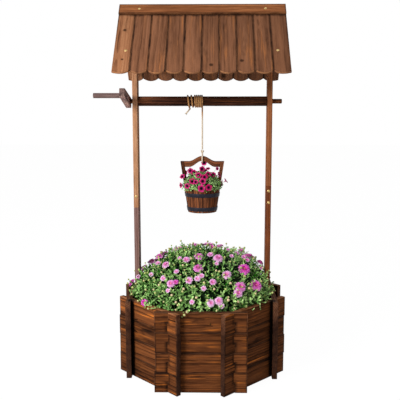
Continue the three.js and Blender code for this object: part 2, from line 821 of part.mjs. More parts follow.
// The handle's upper and lower line at a share of its half span, from 0 in the middle to 1 at an ear.
function handleLines(share) {
  const arch = (1 + Math.cos(Math.PI * Math.min(share / handleArchShare, 1))) / 2;
  const top = earTopHeight + handleRise * arch;
  const low = top - THREE.MathUtils.lerp(handleEndDepth, handleMiddleDepth, arch);
  return { top, low };
}

function bucketHandle() {
  const half = handleThickness / 2;
  const steps = 20;
  const rings = [];
  for (let k = 0; k <= steps; k++) {
    const share = (2 * k) / steps - 1;
    const { top, low } = handleLines(Math.abs(share));
    const outline = [
      [-half, low + handleEase],
      [handleEase - half, low],
      [half - handleEase, low],
      [half, low + handleEase],
      [half, top - handleEase],
      [half - handleEase, top],
      [handleEase - half, top],
      [-half, top - handleEase],
    ];
    rings.push(outline.map(([y, z]) => [share * (earInnerX(z) - seatGap), y, z]));
  }
  return loft(rings, flattenAcross);
}

function hoop(middleHeight) {
  const low = middleHeight - hoopWidth / 2;
  const high = middleHeight + hoopWidth / 2;
  const profile = [
    [bucketRadius(low) + seatGap, low],
    [bucketRadius(low) + seatGap + hoopThickness, low],
    [bucketRadius(high) + seatGap + hoopThickness, high],
    [bucketRadius(high) + seatGap, high],
    [bucketRadius(low) + seatGap, low],
  ].map(([radius, height]) => new THREE.Vector2(radius, height));
  return new THREE.LatheGeometry(profile, 48).applyMatrix4(revolvedUpright);
}

// Levels of the bucket's flowers above the rim, as shares of their height, of the half width between the
// ears and of the half width over the rim.
const crownShares = [
  [0.22, 1, 1],
  [0.5, 0.98, 0.96],
  [0.76, 0.82, 0.72],
  [0.94, 0.52, 0.42],
  [1, 0.18, 0.14],
];

// Soil and flowers of the bucket as one soft body: a plug inside, and a crown that spills over the rim
// at the front and back and stays between the ears.
function bucketPlanting() {
  const around = 28;
  const plug = (height) => earInnerX(height) - plantGap;
  const crown = earTopHeight - handleEndDepth - bloomHeadroom - bucketRimHeight;
  const halfX = plug(bucketRimHeight);
  const halfY = rimRadius + bucketSpill;
  const plugTop = bucketRimHeight + plantGap;
  const rings = [];
  for (const height of [bucketFloorTop, plugTop])
    rings.push(ovalRing(height, plug(height), plug(height), around, 0));
  for (const [up, acrossX, acrossY] of crownShares)
    rings.push(ovalRing(bucketRimHeight + crown * up, halfX * acrossX, halfY * acrossY, around, up));
  return loft(rings, flattenLevel);
}

// A level ring of foliage. Its lumps only draw in, so that it stays within its half widths.
function ovalRing(height, halfX, halfY, around, phase) {
  const ring = [];
  for (let k = 0; k < around; k++) {
    const turn = (k / around) * 2 * Math.PI;
    const wave = (1 + Math.sin(5 * turn + 9 * phase) * Math.cos(3 * turn - 4 * phase)) / 2;
    const draw = phase > 0 ? 1 - moundLumpShare * wave : 1;
    ring.push([halfX * draw * Math.cos(turn), halfY * draw * Math.sin(turn), height]);
  }
  return ring;
}

function addBucket() {
  const bucket = new THREE.Group();
  bucket.position.set(0, -windingRadius, bucketHeight);
  planter.add(bucket);
  addMesh(bucket, "bucket_tub", bucketTub(), woods.stave);
  addMesh(bucket, "bucket_right_ear", bucketEar(), woods.stave);
  addMesh(bucket, "bucket_left_ear", bucketEar(), woods.stave).rotation.z = Math.PI;
  addMesh(bucket, "bucket_handle", bucketHandle(), woods.stave);
  addMesh(bucket, "bucket_lower_hoop", hoop(lowerHoopHeight), others.hoop);
  addMesh(bucket, "bucket_upper_hoop", hoop(upperHoopHeight), others.hoop);
  addMesh(bucket, "bucket_flowers", bucketPlanting(), others.petunia);
}

// Planting of the planter

// Cutters for a slot round each post, open toward the wall.
function postSlots(gap, fromZ, toZ) {
  const near = postInnerX - gap;
  const far = outerApothem + overrun;
  const half = postDepth / 2 + gap;
  return [block([-far, -half, fromZ], [-near, half, toZ]), block([near, -half, fromZ], [far, half, toZ])];
}

function addPlanting() {
  const soilTop = rimHeight - soilBelowRim;
  const soil = octagonPrism(fillApothem, floorTop, soilTop);
  addMesh(planter, "planter_soil", cut(soil, postSlots(seatGap, 0, rimHeight)), others.soil);

  // Foliage: a plug between the walls, then a low dome over the rim.
  const around = 36;
  const domeSteps = 8;
  const throat = innerApothem - throatInset;
  const spread = outerApothem - moundInset;
  const rings = [soilTop, rimHeight + plantGap].map((height) => ovalRing(height, throat, throat, around, 0));
  for (let k = 0; k < domeSteps; k++) {
    const share = (k + 1 / 2) / domeSteps;
    const rise = (share * Math.PI) / 2;
    const radius = spread * Math.cos(rise);
    rings.push(ovalRing(rimHeight + moundHeight * Math.sin(rise), radius, radius, around, share));
  }
  const slots = postSlots(plantGap, soilTop - overrun, rimHeight + moundHeight);
  addMesh(planter, "planter_flowers", cut(loft(rings, flattenLevel), slots), others.foliage);
}

addWalls();
addFloor();
addPosts();
addRoof();
addWindlass();
addHangingRope();
addBucket();
addPlanting();
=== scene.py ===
# Wishing well planter: timber, rope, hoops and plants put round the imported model. All in metres.
import math

import bpy
import numpy as np
from mathutils.geometry import tessellate_polygon
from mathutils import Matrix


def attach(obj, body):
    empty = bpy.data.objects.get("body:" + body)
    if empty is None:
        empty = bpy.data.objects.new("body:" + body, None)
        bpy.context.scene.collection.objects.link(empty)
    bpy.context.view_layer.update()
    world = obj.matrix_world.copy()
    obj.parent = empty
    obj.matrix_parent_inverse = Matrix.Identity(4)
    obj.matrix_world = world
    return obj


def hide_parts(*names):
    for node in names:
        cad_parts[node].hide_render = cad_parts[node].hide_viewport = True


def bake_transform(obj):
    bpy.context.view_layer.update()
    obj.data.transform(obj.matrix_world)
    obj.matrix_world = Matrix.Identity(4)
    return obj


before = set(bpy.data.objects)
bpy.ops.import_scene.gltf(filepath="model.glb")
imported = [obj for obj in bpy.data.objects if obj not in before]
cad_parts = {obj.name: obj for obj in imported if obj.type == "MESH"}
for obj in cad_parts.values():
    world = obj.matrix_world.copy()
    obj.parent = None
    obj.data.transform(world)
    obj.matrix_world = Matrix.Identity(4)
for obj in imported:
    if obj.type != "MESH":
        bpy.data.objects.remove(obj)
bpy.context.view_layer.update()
scene = bpy.context.scene
scene.view_settings.view_transform = "Standard"

# Camera, from the perspective of the posts, the eaves and the planter's rim
cameraPlan = {
    "azimuth": 1.0,  # degrees round to the right
    "pitch": 7.83,  # degrees downward
    "distance": 1.9232,  # level, from the well's upright axis
    "height": 0.7971, "focalPixels": 616.2, "pictureSide": 400, "middlePixel": (202.4, 200.02),
}


def addCamera(plan):
    turn = math.radians(plan["azimuth"])
    camera = bpy.data.objects.new("camera", bpy.data.cameras.new("camera"))
    scene.collection.objects.link(camera)
    camera.location = (plan["distance"] * math.sin(turn), -plan["distance"] * math.cos(turn), plan["height"])
    camera.rotation_euler = (math.radians(90 - plan["pitch"]), 0, turn)
    side = plan["pictureSide"]
    camera.data.sensor_width = 36
    camera.data.lens = 36 * plan["focalPixels"] / side
    camera.data.shift_x = (side / 2 - plan["middlePixel"][0]) / side
    camera.data.shift_y = (plan["middlePixel"][1] - side / 2) / side
    camera.data.clip_end = 60
    scene.camera = camera


addCamera(cameraPlan)
print("camera set")


# Node helpers: each adds to a material's tree and gives back a socket

def paint(red, green, blue):  # a colour as read off a screen, made linear
    share = np.array([red, green, blue]) / 255
    linear = np.where(share <= 0.04045, share / 12.92, ((share + 0.055) / 1.055) ** 2.4)
    return (*linear.tolist(), 1.0)


def addNode(tree, kind, inputs=(), **settings):
    node = tree.nodes.new("ShaderNode" + kind)
    for key, value in settings.items():
        setattr(node, key, value)
    for key, value in dict(inputs).items():
        if isinstance(value, bpy.types.NodeSocket):
            tree.links.new(value, node.inputs[key])
        else:
            node.inputs[key].default_value = value
    return node


def maths(tree, operation, first, second=0.0, clamp=False):
    return addNode(tree, "Math", {0: first, 1: second}, operation=operation, use_clamp=clamp).outputs[0]


def times(tree, first, second):
    return maths(tree, "MULTIPLY", first, second)


def plus(tree, first, second, clamp=False):
    return maths(tree, "ADD", first, second, clamp)


def timesPlus(tree, first, second, third):  # first times second plus third
    return addNode(tree, "Math", {0: first, 1: second, 2: third}, operation="MULTIPLY_ADD").outputs[0]


def vectors(tree, operation, *inputs):
    node = addNode(tree, "VectorMath", dict(enumerate(inputs)), operation=operation)
    return node.outputs["Value" if operation == "DISTANCE" else "Vector"]


def ranged(tree, value, low, high, newLow=0.0, newHigh=1.0):
    inputs = {"Value": value, "From Min": low, "From Max": high, "To Min": newLow, "To Max": newHigh}
    return addNode(tree, "MapRange", inputs).outputs[0]


def mixed(tree, factor, first, second, blend="MIX"):
    inputs = {0: factor, 6: first, 7: second}
    return addNode(tree, "Mix", inputs, data_type="RGBA", blend_type=blend).outputs[2]


def washed(tree, factor, colour, shade, blend="MIX"):  # the colour with a share of a plain shade over it
    return mixed(tree, factor, colour, paint(*shade), blend)


def ramp(tree, value, positions, shades):
    node = addNode(tree, "ValToRGB", {"Fac": value})
    elements = node.color_ramp.elements
    while len(elements) < len(positions):
        elements.new(0.5)
    for element, position, shade in zip(elements, positions, shades):
        element.position = position
        element.color = paint(*shade)
    return node.outputs[0]


def stretched(tree, vector, shares, shift=(0, 0, 0)):
    return vectors(tree, "MULTIPLY_ADD", vector, shares, shift)


def cloud(tree, vector, shares, detail=3.0, roughness=0.55, shift=(0, 0, 0)):
    place = stretched(tree, vector, shares, shift)
    inputs = {"Vector": place, "Scale": 1.0, "Detail": detail, "Roughness": roughness}
    return addNode(tree, "TexNoise", inputs).outputs["Fac"]


def attribute(tree, name, output="Fac"):
    return addNode(tree, "Attribute", attribute_name=name).outputs[output]


def objectPlace(tree):
    return addNode(tree, "TexCoord").outputs["Object"]


def surface(tree, colour, roughness, height, relief, more=()):
    # A shader with bumps: relief is how many metres a height of 1 rises.
    bumps = addNode(tree, "Bump", {"Height": height, "Distance": relief, "Strength": 1.0}).outputs[0]
    inputs = {"Base Color": colour, "Roughness": roughness, "Normal": bumps, **dict(more)}
    return addNode(tree, "BsdfPrincipled", inputs).outputs[0]


def newMaterial(name, fill):
    material = bpy.data.materials.new(name)
    material.use_nodes = True
    tree = material.node_tree
    tree.nodes.clear()
    output = tree.nodes.new("ShaderNodeOutputMaterial")
    tree.links.new(fill(tree), output.inputs["Surface"])
    return material


# Wood. Growth rings are distances from a pith line along the board, bent by noise; streaks and fibres are
# noise drawn out along the board; soot in the seams, knots and rubbed edges are laid over them. A "...Noise"
# is waves per metre along, across and through the board, and a "...From" is the range of noise that shows.
plainWood = {
    "dark": (62, 36, 22), "mid": (112, 70, 44), "light": (156, 106, 68), "shadeAt": (0.08, 0.5, 0.92),
    "warp": 0.004, "bendNoise": (6, 18, 18), "ringSpacing": 0.0052, "ringShare": 0.5, "latePower": 2.5,
    "grainNoise": (11, 170, 170), "grainShare": 1.5, "fibreNoise": (30, 620, 620), "fibreShare": 0.7,
    "bandNoise": (3.2, 48, 48), "bandShare": 1.1,
    "streak": (176, 104, 50), "streakNoise": (7, 120, 120), "streakFrom": (0.54, 0.68), "streakShare": 0.35,
    "sunnyNoise": (5, 16, 16), "sunnyFrom": (0.42, 0.6),
    "smudge": (34, 20, 14), "smudgeNoise": (9, 34, 34), "smudgeLevel": 0.6, "smudgeEase": 0.14,
    "smudgeShare": 0.5, "knotNoise": (9, 12, 12), "knotFrom": (0.07, 0.15), "knotShare": 0.85,
    "knotRarity": 0.8, "knotRagged": 0.004, "shownKnotShare": 0.8, "patchNoise": (22, 60, 60),
    "patchFrom": (0.36, 0.6), "seamShare": 0.7, "seamFrom": (0.3, 0.9), "worn": (176, 122, 80),
    "wornShare": 0.55, "hiddenWear": 0.25, "roughness": (0.6, 0.85), "specular": 0.05, "relief": 0.0005,
    "knotsAt": [],  # (place, size) of knots that the picture shows
    "endGrain": None,  # colour of the sawn ends
    "sootAbove": None,  # (low height, high height) of a band of painted shadow under the ridge cap
    "cornerAt": None,  # (along x, along y, reach) of painted shade in four concave corners
}


def weighed(tree, start, terms):  # a start plus each value's distance from a half, weighted
    level = start - 0.5 * sum(weight for value, weight in terms)
    for value, weight in terms:
        level = timesPlus(tree, value, weight, level)
    return level


def shadeNearCorner(tree, across, beside, reach):
    # 1 at the upright lines that lie so far across and beside the middle, on every side, and 0 a reach away.
    # the mask of painted shade for the concave corners where the walls cross
    spot = vectors(tree, "ABSOLUTE", vectors(tree, "MULTIPLY", objectPlace(tree), (1, 1, 0)))
    away = vectors(tree, "DISTANCE", spot, (across, beside, 0))
    return ranged(tree, away, reach * 0.55, reach, 0.95, 0)


def woodMaterial(name, changes, carried=False):
    wood = {**plainWood, **changes}

    def fill(tree):
        # a CAD node has no grain of its own
        place = objectPlace(tree) if carried else attribute(tree, "grain", "Vector")
        noise = {"Vector": stretched(tree, place, wood["bendNoise"]), "Scale": 1.0, "Detail": 2.0}
        bend = addNode(tree, "TexNoise", noise).outputs["Color"]
        bent = vectors(tree, "ADD", place, stretched(tree, bend, (0, wood["warp"], wood["warp"])))
        wave = {"Vector": bent, "Scale": 0.314 / wood["ringSpacing"]}  # at scale 1 the rings lie 0.314 apart
        rings = addNode(tree, "TexWave", wave, wave_type="RINGS", rings_direction="X", wave_profile="SAW")
        rings = rings.outputs["Fac"]
        late = maths(tree, "POWER", rings, wood["latePower"])
        grain = cloud(tree, bent, wood["grainNoise"], 3, shift=(5, 2, 9))
        fibre = cloud(tree, place, wood["fibreNoise"], 3)
        band = cloud(tree, place, wood["bandNoise"], 2, shift=(3, 1, 7))
        level = weighed(tree, 0.5 - 0.2 * wood["ringShare"], [
            (late, -wood["ringShare"]), (grain, wood["grainShare"]),
            (fibre, wood["fibreShare"]), (band, wood["bandShare"])])
        colour = ramp(tree, level, wood["shadeAt"], (wood["dark"], wood["mid"], wood["light"]))

        hot = cloud(tree, bent, wood["streakNoise"], 3, shift=(11, 5, 2))
        hot = times(tree, ranged(tree, hot, *wood["streakFrom"]), wood["streakShare"])
        sunny = ranged(tree, cloud(tree, place, wood["sunnyNoise"], 2, shift=(8, 3, 1)), *wood["sunnyFrom"])
        hot = times(tree, times(tree, hot, ranged(tree, level, 0.3, 0.6)), sunny)
        colour = washed(tree, hot, colour, wood["streak"])

        burnt = cloud(tree, place, wood["smudgeNoise"], 4, 0.6, shift=(2, 9, 4))
        smudgeLevel = wood["smudgeLevel"]
        burnt = ranged(tree, burnt, smudgeLevel, smudgeLevel + wood["smudgeEase"], 0, wood["smudgeShare"])
        colour = washed(tree, burnt, colour, wood["smudge"])

        knots = {"Vector": stretched(tree, bent, wood["knotNoise"]), "Scale": 1.0}
        knots = addNode(tree, "TexVoronoi", knots)
        near = ranged(tree, knots.outputs["Distance"], *wood["knotFrom"], 1, 0)
        number = addNode(tree, "SeparateColor", {0: knots.outputs["Color"]}).outputs[0]
        chosen = maths(tree, "GREATER_THAN", number, wood["knotRarity"])
        knot = times(tree, times(tree, near, chosen), wood["knotShare"])
        for spot, size in wood["knotsAt"]:
            away = vectors(tree, "DISTANCE", objectPlace(tree), spot)
            ragged = timesPlus(tree, grain, wood["knotRagged"], away)
            mean = wood["knotRagged"] / 2
            shown = ranged(tree, ragged, size * 0.5 + mean, size + mean, wood["shownKnotShare"], 0)
            knot = maths(tree, "MAXIMUM", knot, shown)
        colour = washed(tree, knot, colour, wood["smudge"])

        if not carried:
            edge, bare = attribute(tree, "wear"), attribute(tree, "bare")
            patches = ranged(tree, cloud(tree, place, wood["patchNoise"], 3), *wood["patchFrom"])
            sootAndShadow = times(tree, ranged(tree, edge, *wood["seamFrom"]), ranged(tree, patches, 0, 1, 1, 0.65))
            sootAndShadow = times(tree, sootAndShadow, ranged(tree, bare, 0, 1, wood["seamShare"], 0))
            colour = washed(tree, sootAndShadow, colour, wood["smudge"])
            rubbed = times(tree, maths(tree, "GREATER_THAN", edge, 0.97), patches)
            wornShare = wood["wornShare"]
            rubbed = times(tree, rubbed, ranged(tree, bare, 0, 1, wood["hiddenWear"] * wornShare, wornShare))
            colour = washed(tree, rubbed, colour, wood["worn"])
            if wood["endGrain"]:
                sawn = maths(tree, "GREATER_THAN", attribute(tree, "cut"), 0.97)
                sawn = times(tree, sawn, ranged(tree, rings, 0, 1, 0.5, 0.9))
                colour = washed(tree, sawn, colour, wood["endGrain"])
            # painted shadow: a dark band on the roof boards just under the ridge cap
            if wood["sootAbove"]:
                height = addNode(tree, "SeparateXYZ", {0: objectPlace(tree)}).outputs[2]
                height = plus(tree, height, times(tree, patches, 0.004))
                sootAndShadow = ranged(tree, height, *wood["sootAbove"], 0, 0.85)
                colour = washed(tree, sootAndShadow, colour, wood["smudge"])
            # painted shade in the concave corners beside the crossing walls
            if wood["cornerAt"]:
                colour = washed(tree, shadeNearCorner(tree, *wood["cornerAt"]), colour, wood["smudge"])
            tone = addNode(tree, "CombineXYZ", {i: attribute(tree, "tone") for i in range(3)}).outputs[0]
            colour = mixed(tree, 1.0, colour, tone, "MULTIPLY")
        height = plus(tree, level, times(tree, fibre, 0.6))
        height = maths(tree, "SUBTRACT", height, times(tree, burnt, 0.4))
        gloss = ranged(tree, level, 0.2, 0.8, wood["roughness"][1], wood["roughness"][0])
        return surface(tree, colour, gloss, height, wood["relief"], {"Specular IOR Level": wood["specular"]})

    return newMaterial(name, fill)


postGrain = {"smudgeShare": 0.25, "seamShare": 0.15, "grainShare": 0.9}
# roof boards: seam soot, and a band of painted shadow under the ridge cap
eavesSootAndShadow = {"smudgeLevel": 0.58, "seamShare": 1.0, "ringShare": 0.2, "fibreShare": 0.5,
             "sootAbove": (1.0905, 1.0975)}
woods = {
    "wall": woodMaterial("scorchedWallWood", {
        "dark": (42, 22, 10), "mid": (98, 55, 29), "light": (130, 76, 39), "streak": (206, 116, 44),
        "streakShare": 1.0, "smudge": (18, 11, 8), "smudgeShare": 0.8, "smudgeLevel": 0.58,
        "worn": (186, 128, 92), "grainShare": 0.8, "ringShare": 0.45, "bandShare": 1.0, "fibreShare": 0.8,
        "seamShare": 0.9, "endGrain": (54, 33, 25), "cornerAt": (0.2140, 0.1113, 0.016)}),
    "roof": woodMaterial("stainedRoofWood", {
        **eavesSootAndShadow, "dark": (67, 40, 27), "mid": (123, 81, 57), "light": (154, 104, 74),
        "streak": (190, 116, 58), "streakShare": 0.5, "bandShare": 0.7, "grainShare": 0.5,
        "smudgeShare": 0.4,
        "knotsAt": [((0.0275, -0.1629, 0.9373), 0.0075), ((0.1140, -0.1519, 0.9496), 0.0075)]}),
    "verge": woodMaterial("stainedVergeWood", {
        **eavesSootAndShadow, "dark": (87, 52, 33), "mid": (146, 97, 66), "light": (176, 125, 89), "grainShare": 0.6,
        "bandShare": 0.9, "knotRarity": 0.6,
        "knotsAt": [((-0.2269, -0.0674, 1.0448), 0.007), ((-0.2238, -0.1482, 0.9538), 0.005)]}),
    "trim": woodMaterial("ridgeWood", {
        "dark": (92, 52, 29), "mid": (140, 86, 52), "light": (172, 110, 66), "smudgeShare": 0.4,
        "grainShare": 1.1, "ringShare": 0.4, "seamShare": 0.8, "streak": (190, 116, 58),
        "streakShare": 0.5}),
    "leftUpper": woodMaterial("leftUpperPostWood", {
        **postGrain, "dark": (144, 90, 56), "mid": (187, 132, 96), "light": (214, 162, 122),
        "worn": (224, 170, 130)}),
    "leftLower": woodMaterial("leftLowerPostWood", {
        **postGrain, "dark": (102, 73, 68), "mid": (150, 115, 110), "light": (178, 142, 133),
        "worn": (170, 128, 108)}),
    "rightUpper": woodMaterial("rightUpperPostWood", {
        **postGrain, "dark": (98, 54, 29), "mid": (150, 91, 57), "light": (178, 114, 74),
        "worn": (196, 120, 68)}),
    "rightLower": woodMaterial("rightLowerPostWood", {
        **postGrain, "dark": (72, 36, 20), "mid": (112, 61, 38), "light": (142, 82, 50),
        "worn": (204, 114, 56)}),
    # painted shade: dark wood for the roller, gable rafters and ridge beam that lie under the roof
    "shade": woodMaterial("innerWood", {
        "dark": (27, 13, 9), "mid": (59, 33, 22), "light": (98, 57, 38), "grainShare": 1.1}),
    "weathered": woodMaterial("weatheredWood", {
        "dark": (62, 48, 46), "mid": (108, 86, 83), "light": (146, 120, 114), "streakShare": 0.1,
        "ringShare": 0.3, "smudge": (48, 38, 38), "smudgeShare": 0.35, "worn": (186, 152, 136),
        "wornShare": 1.0, "grainShare": 1.1, "seamShare": 0.3}),
    "stave": woodMaterial("bucketWood", {
        "dark": (44, 22, 14), "mid": (94, 55, 36), "light": (142, 84, 50), "streak": (188, 100, 46),
        "streakShare": 0.6, "smudge": (28, 15, 12), "ringSpacing": 0.0032, "relief": 0.0003,
        "worn": (180, 116, 72), "seamShare": 0.9}),
    "carried": woodMaterial("hiddenFloorWood", {
        "dark": (58, 34, 20), "mid": (92, 56, 36), "light": (124, 80, 54)}, carried=True),
}
print("woods made")


# Mesh helpers. A shape is a dictionary of points, four-sided and three-sided faces, and values at its points.
noTriangles = np.zeros((0, 3), int)
quarterTurn = np.radians([0, 30, 60, 90])  # steps of a rounded edge


def fullTurn(steps):
    return np.arange(steps) / steps * 2 * math.pi


def polar(radius, turn, height):  # points at a radius, direction and height, spread over one grid
    return np.stack(np.broadcast_arrays(radius * np.cos(turn), radius * np.sin(turn), height), axis=-1)


def unit(rows):
    return rows / np.maximum(np.linalg.norm(rows, axis=-1, keepdims=True), 1e-12)


def spokes(turn, side, other):  # the directions at each turn between every row's two axes
    return np.cos(turn)[..., None] * side[:, None] + np.sin(turn)[..., None] * other[:, None]


def smoothed(share):  # 0 to 1 with a level start and end
    share = np.clip(share, 0, 1)
    return share * share * (3 - 2 * share)


def gridQuads(rows, columns, closed=True):
    # Quads between neighbouring rows; a closed grid joins its last column to its first.
    row = np.arange(rows - 1)[:, None] * columns
    column = np.arange(columns if closed else columns - 1)[None, :]
    beside = (column + 1) % columns
    corners = [row + column, row + beside, row + beside + columns, row + column + columns]
    return np.stack(corners, axis=-1).reshape(-1, 4)


def repeatedFaces(faces, count, size):  # the faces of copies that have so many points each
    return (faces[None] + np.arange(count)[:, None, None] * size).reshape(-1, faces.shape[1])


def bothSides(quads, below):  # the faces, and those of the underside, made of the points in below
    return np.concatenate([quads, below.ravel()[quads][:, ::-1]])


def joined(shapes):  # one shape from several, with the faces counted on
    counts = np.cumsum([0] + [len(shape["points"]) for shape in shapes])
    whole = {}
    for key in shapes[0]:
        shift = counts[:-1] if key in ("quads", "triangles") else np.zeros(len(shapes), int)
        whole[key] = np.concatenate([shape[key] + add for shape, add in zip(shapes, shift)])
    return whole


def placed(shape, origin, axes=np.eye(3)):  # from local coordinates to the frame
    return {**shape, "points": np.asarray(origin) + shape["points"] @ np.asarray(axes, float)}


def turnedAbout(shape, degrees):  # turned about the upright axis
    turn = math.radians(degrees)
    matrix = np.array([[math.cos(turn), -math.sin(turn), 0], [math.sin(turn), math.cos(turn), 0], [0, 0, 1]])
    return {**shape, "points": shape["points"] @ matrix.T}


def newPiece(name, shape, material, body, *replaced, sharp=40):
    points, quads, triangles = shape["points"], shape["quads"], shape["triangles"]
    mesh = bpy.data.meshes.new(name)
    corners = np.concatenate([quads.ravel(), triangles.ravel()]).astype(np.int32)
    sizes = np.concatenate([np.full(len(quads), 4), np.full(len(triangles), 3)])
    mesh.vertices.add(len(points))
    mesh.vertices.foreach_set("co", points.astype(np.float32).ravel())
    mesh.loops.add(len(corners))
    mesh.loops.foreach_set("vertex_index", corners)
    mesh.polygons.add(len(sizes))
    mesh.polygons.foreach_set("loop_start", (np.cumsum(sizes) - sizes).astype(np.int32))
    for key, values in shape.items():
        if key in ("points", "quads", "triangles"):
            continue
        flat = values.ndim == 1
        layer = mesh.attributes.new(key, "FLOAT" if flat else "FLOAT_VECTOR", "POINT")
        layer.data.foreach_set("value" if flat else "vector", values.astype(np.float32).ravel())
    mesh.update(calc_edges=True)
    mesh.validate()
    mesh.shade_smooth()
    mesh.set_sharp_from_angle(angle=math.radians(sharp))
    mesh.materials.append(material)
    piece = bpy.data.objects.new(name, mesh)
    scene.collection.objects.link(piece)
    if body:
        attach(piece, body)
    if replaced:
        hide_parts(*replaced)
    return piece


def insetLoop(loop, amount):  # every point moved inward along the mitre of its two edges
    before = unit(loop - np.roll(loop, 1, axis=0))
    after = unit(np.roll(loop, -1, axis=0) - loop)
    left = np.stack([-before[:, 1], before[:, 0]], axis=1) + np.stack([-after[:, 1], after[:, 0]], axis=1)
    return loop + amount * left / (1 + (before * after).sum(axis=1, keepdims=True))


def flatCap(loops):  # triangles that fill an outline and its holes
    corners = [[(x, y, 0.0) for x, y in loop] for loop in loops]
    triangles = np.array(tessellate_polygon(corners))
    flat = np.concatenate(loops)
    a, b, c = (flat[triangles[:, k]] for k in range(3))
    area = (b[:, 0] - a[:, 0]) * (c[:, 1] - a[:, 1]) - (b[:, 1] - a[:, 1]) * (c[:, 0] - a[:, 0])
    triangles[area < 0] = triangles[area < 0][:, ::-1]
    return triangles


def easedPrism(loops, depth, ease=0.0012, border=0.0055):
    # An outline (and holes, which run clockwise) grown along its third axis, with a quarter round at both
    # faces. Wear is 1 on the round edges and 0 a border's width inside them.
    loops = [np.asarray(loop, float) for loop in loops]
    rounding, rising = ease * (1 - np.sin(quarterTurn)), ease * (1 - np.cos(quarterTurn))
    inset = np.concatenate([[ease + border], rounding, rounding[::-1], [ease + border]])
    rise = np.concatenate([[0], rising, depth - rising[::-1], [depth]])
    wear = np.concatenate([[0], np.ones(8), [0]])
    points, quads, wears, firstCap, lastCap, count = [], [], [], [], [], 0
    for loop in loops:
        rings = [np.column_stack([insetLoop(loop, a), np.full(len(loop), b)]) for a, b in zip(inset, rise)]
        points.extend(rings)
        quads.append(gridQuads(len(rise), len(loop)) + count)
        wears.append(np.repeat(wear, len(loop)))
        firstCap.append(count + np.arange(len(loop)))
        lastCap.append(firstCap[-1] + (len(rise) - 1) * len(loop))
        count += len(rise) * len(loop)
    low, high = np.concatenate(firstCap), np.concatenate(lastCap)
    cap = flatCap([insetLoop(loop, ease + border) for loop in loops])
    return {"points": np.concatenate(points), "quads": np.concatenate(quads),
            "triangles": np.concatenate([low[cap][:, ::-1], high[cap]]), "wear": np.concatenate(wears)}


def ringSolid(rings, wear=None):  # a closed skin over rings of equal count, with a fan on each end ring
    rows, columns = rings.shape[:2]
    points = np.concatenate([rings.reshape(-1, 3), rings[:1].mean(axis=1), rings[-1:].mean(axis=1)])
    here = np.arange(columns)
    beside = (here + 1) % columns
    hub, last = rows * columns, (rows - 1) * columns
    low = np.stack([np.full(columns, hub), beside, here], axis=1)
    high = np.stack([np.full(columns, hub + 1), last + here, last + beside], axis=1)
    fans = np.concatenate([low, high])
    wears = np.zeros(len(points))
    if wear is not None:
        wears = np.concatenate([np.repeat(wear, columns), wear[[0, -1]]])
    return {"points": points, "quads": gridQuads(rows, columns), "triangles": fans, "wear": wears}


def lathed(profile, sides, upright=False):  # rings about an axis, from points (along it, radius)
    along, radius = np.asarray(profile, float).T
    rings = polar(radius[:, None], fullTurn(sides), along[:, None])
    return rings if upright else rings[..., [2, 0, 1]]


def holeOutline(x, y, radius, steps=32):  # a circle that runs clockwise
    turn = -fullTurn(steps)
    return np.column_stack([x + radius * np.cos(turn), y + radius * np.sin(turn)])


def grained(shape, rng, order=(0, 1, 2), spread=0.09, tone=1.0, toneSpread=0.07, tilt=0.012):
    # Gives a board its own piece of a long log: along, across and through it, moved and slightly turned.
    local = shape["points"][:, list(order)]
    slope = rng.uniform(-tilt, tilt, 2)
    pith = np.array([rng.uniform(0, 40), rng.uniform(-0.03, 0.03), rng.uniform(0.015, spread)])
    grain = local + pith
    grain[:, 1:] += slope * local[:, :1]
    level = tone * (1 + rng.normal(0, toneSpread))
    return {**shape, "grain": grain, "tone": np.full(len(local), level)}


crosswise = [(0, 1, 0), (0, 0, 1), (1, 0, 0)]  # outline in Y and Z, grown along X
frontward = [(1, 0, 0), (0, 0, 1), (0, -1, 0)]  # outline in X and Z, grown toward the front


# Rope: three strands laid round each other, on the roller, down to the knot and round the handle
ropePlan = {
    "axle": 0.840, "radius": 0.0024, "windingRadius": 0.01745, "pitch": 0.0055, "loosePitch": 0.011,
    "dense": 4.25, "loose": 2, "firstLoose": 0.5, "crossing": 0.25, "crossingShare": 1.3,
    "lifted": (0.1, 0.28), "tail": [(1, 1, 1), (0.5, 1, 0.55), (0.17, 0.75, 0.18), (0, 0.4, 0.02)],
    "tailReach": 0.013, "tailDrop": 0.016, "lay": 0.0165, "step": 0.0012, "sides": 18, "roundness": 0.84,
    "fray": 0.9, "frayLength": 0.004,
    # the tops of the winding and of the fall carry painted shade from the roof and the roller
    "handledFrom": (0.012, 0.016), "grimeOnTop": 0.7,  # along the winding, from where and over what length
    "handledAbove": (0.027, 0.03), "grimeAbove": (0.024, 0.008), "fallGrime": 0.5,  # down the fall
    "loopPlay": 0.00035, "knot": 0.6861, "knotRadius": 0.006, "knotRope": 0.0021, "knotShare": 2.8,
    "clearance": 0.0003,
    "loop": [(0.29, 0.04), (0.64, 0.13), (0.94, 0.27), (1, 0.47), (1, 0.74), (0.86, 0.94), (0.5, 1)],
    "loopHalf": 0.0121, "loopTop": -0.0063, "loopFoot": -0.0312,
}


def ropeMaterial(name, hanging, wound, grime):
    def fill(tree):
        place = attribute(tree, "grain", "Vector")
        yarn = cloud(tree, place, (140, 5, 5), 3, 0.6)
        stain = cloud(tree, place, (26, 0.6, 0.6), 2)
        level = plus(tree, times(tree, yarn, 0.6), times(tree, stain, 0.5))
        level = maths(tree, "SUBTRACT", level, times(tree, attribute(tree, "furrow"), 0.5))
        first, second = [ramp(tree, level, (0.05, 0.42, 0.8), shades) for shades in (hanging, wound)]
        colour = mixed(tree, attribute(tree, "handled"), first, second)
        # painted shade multiplied over the rope where the roof or the roller shades it
        colour = washed(tree, attribute(tree, "grime"), colour, grime, "MULTIPLY")
        return surface(tree, colour, 0.9, yarn, 0.0004, {"Sheen Weight": 0.15})

    return newMaterial(name, fill)


ropeFibre = ropeMaterial("laidRopeFibre", [(176, 150, 122), (224, 204, 178), (244, 232, 214)],
                         [(96, 58, 30), (196, 138, 80), (236, 186, 124)], (70, 56, 48))


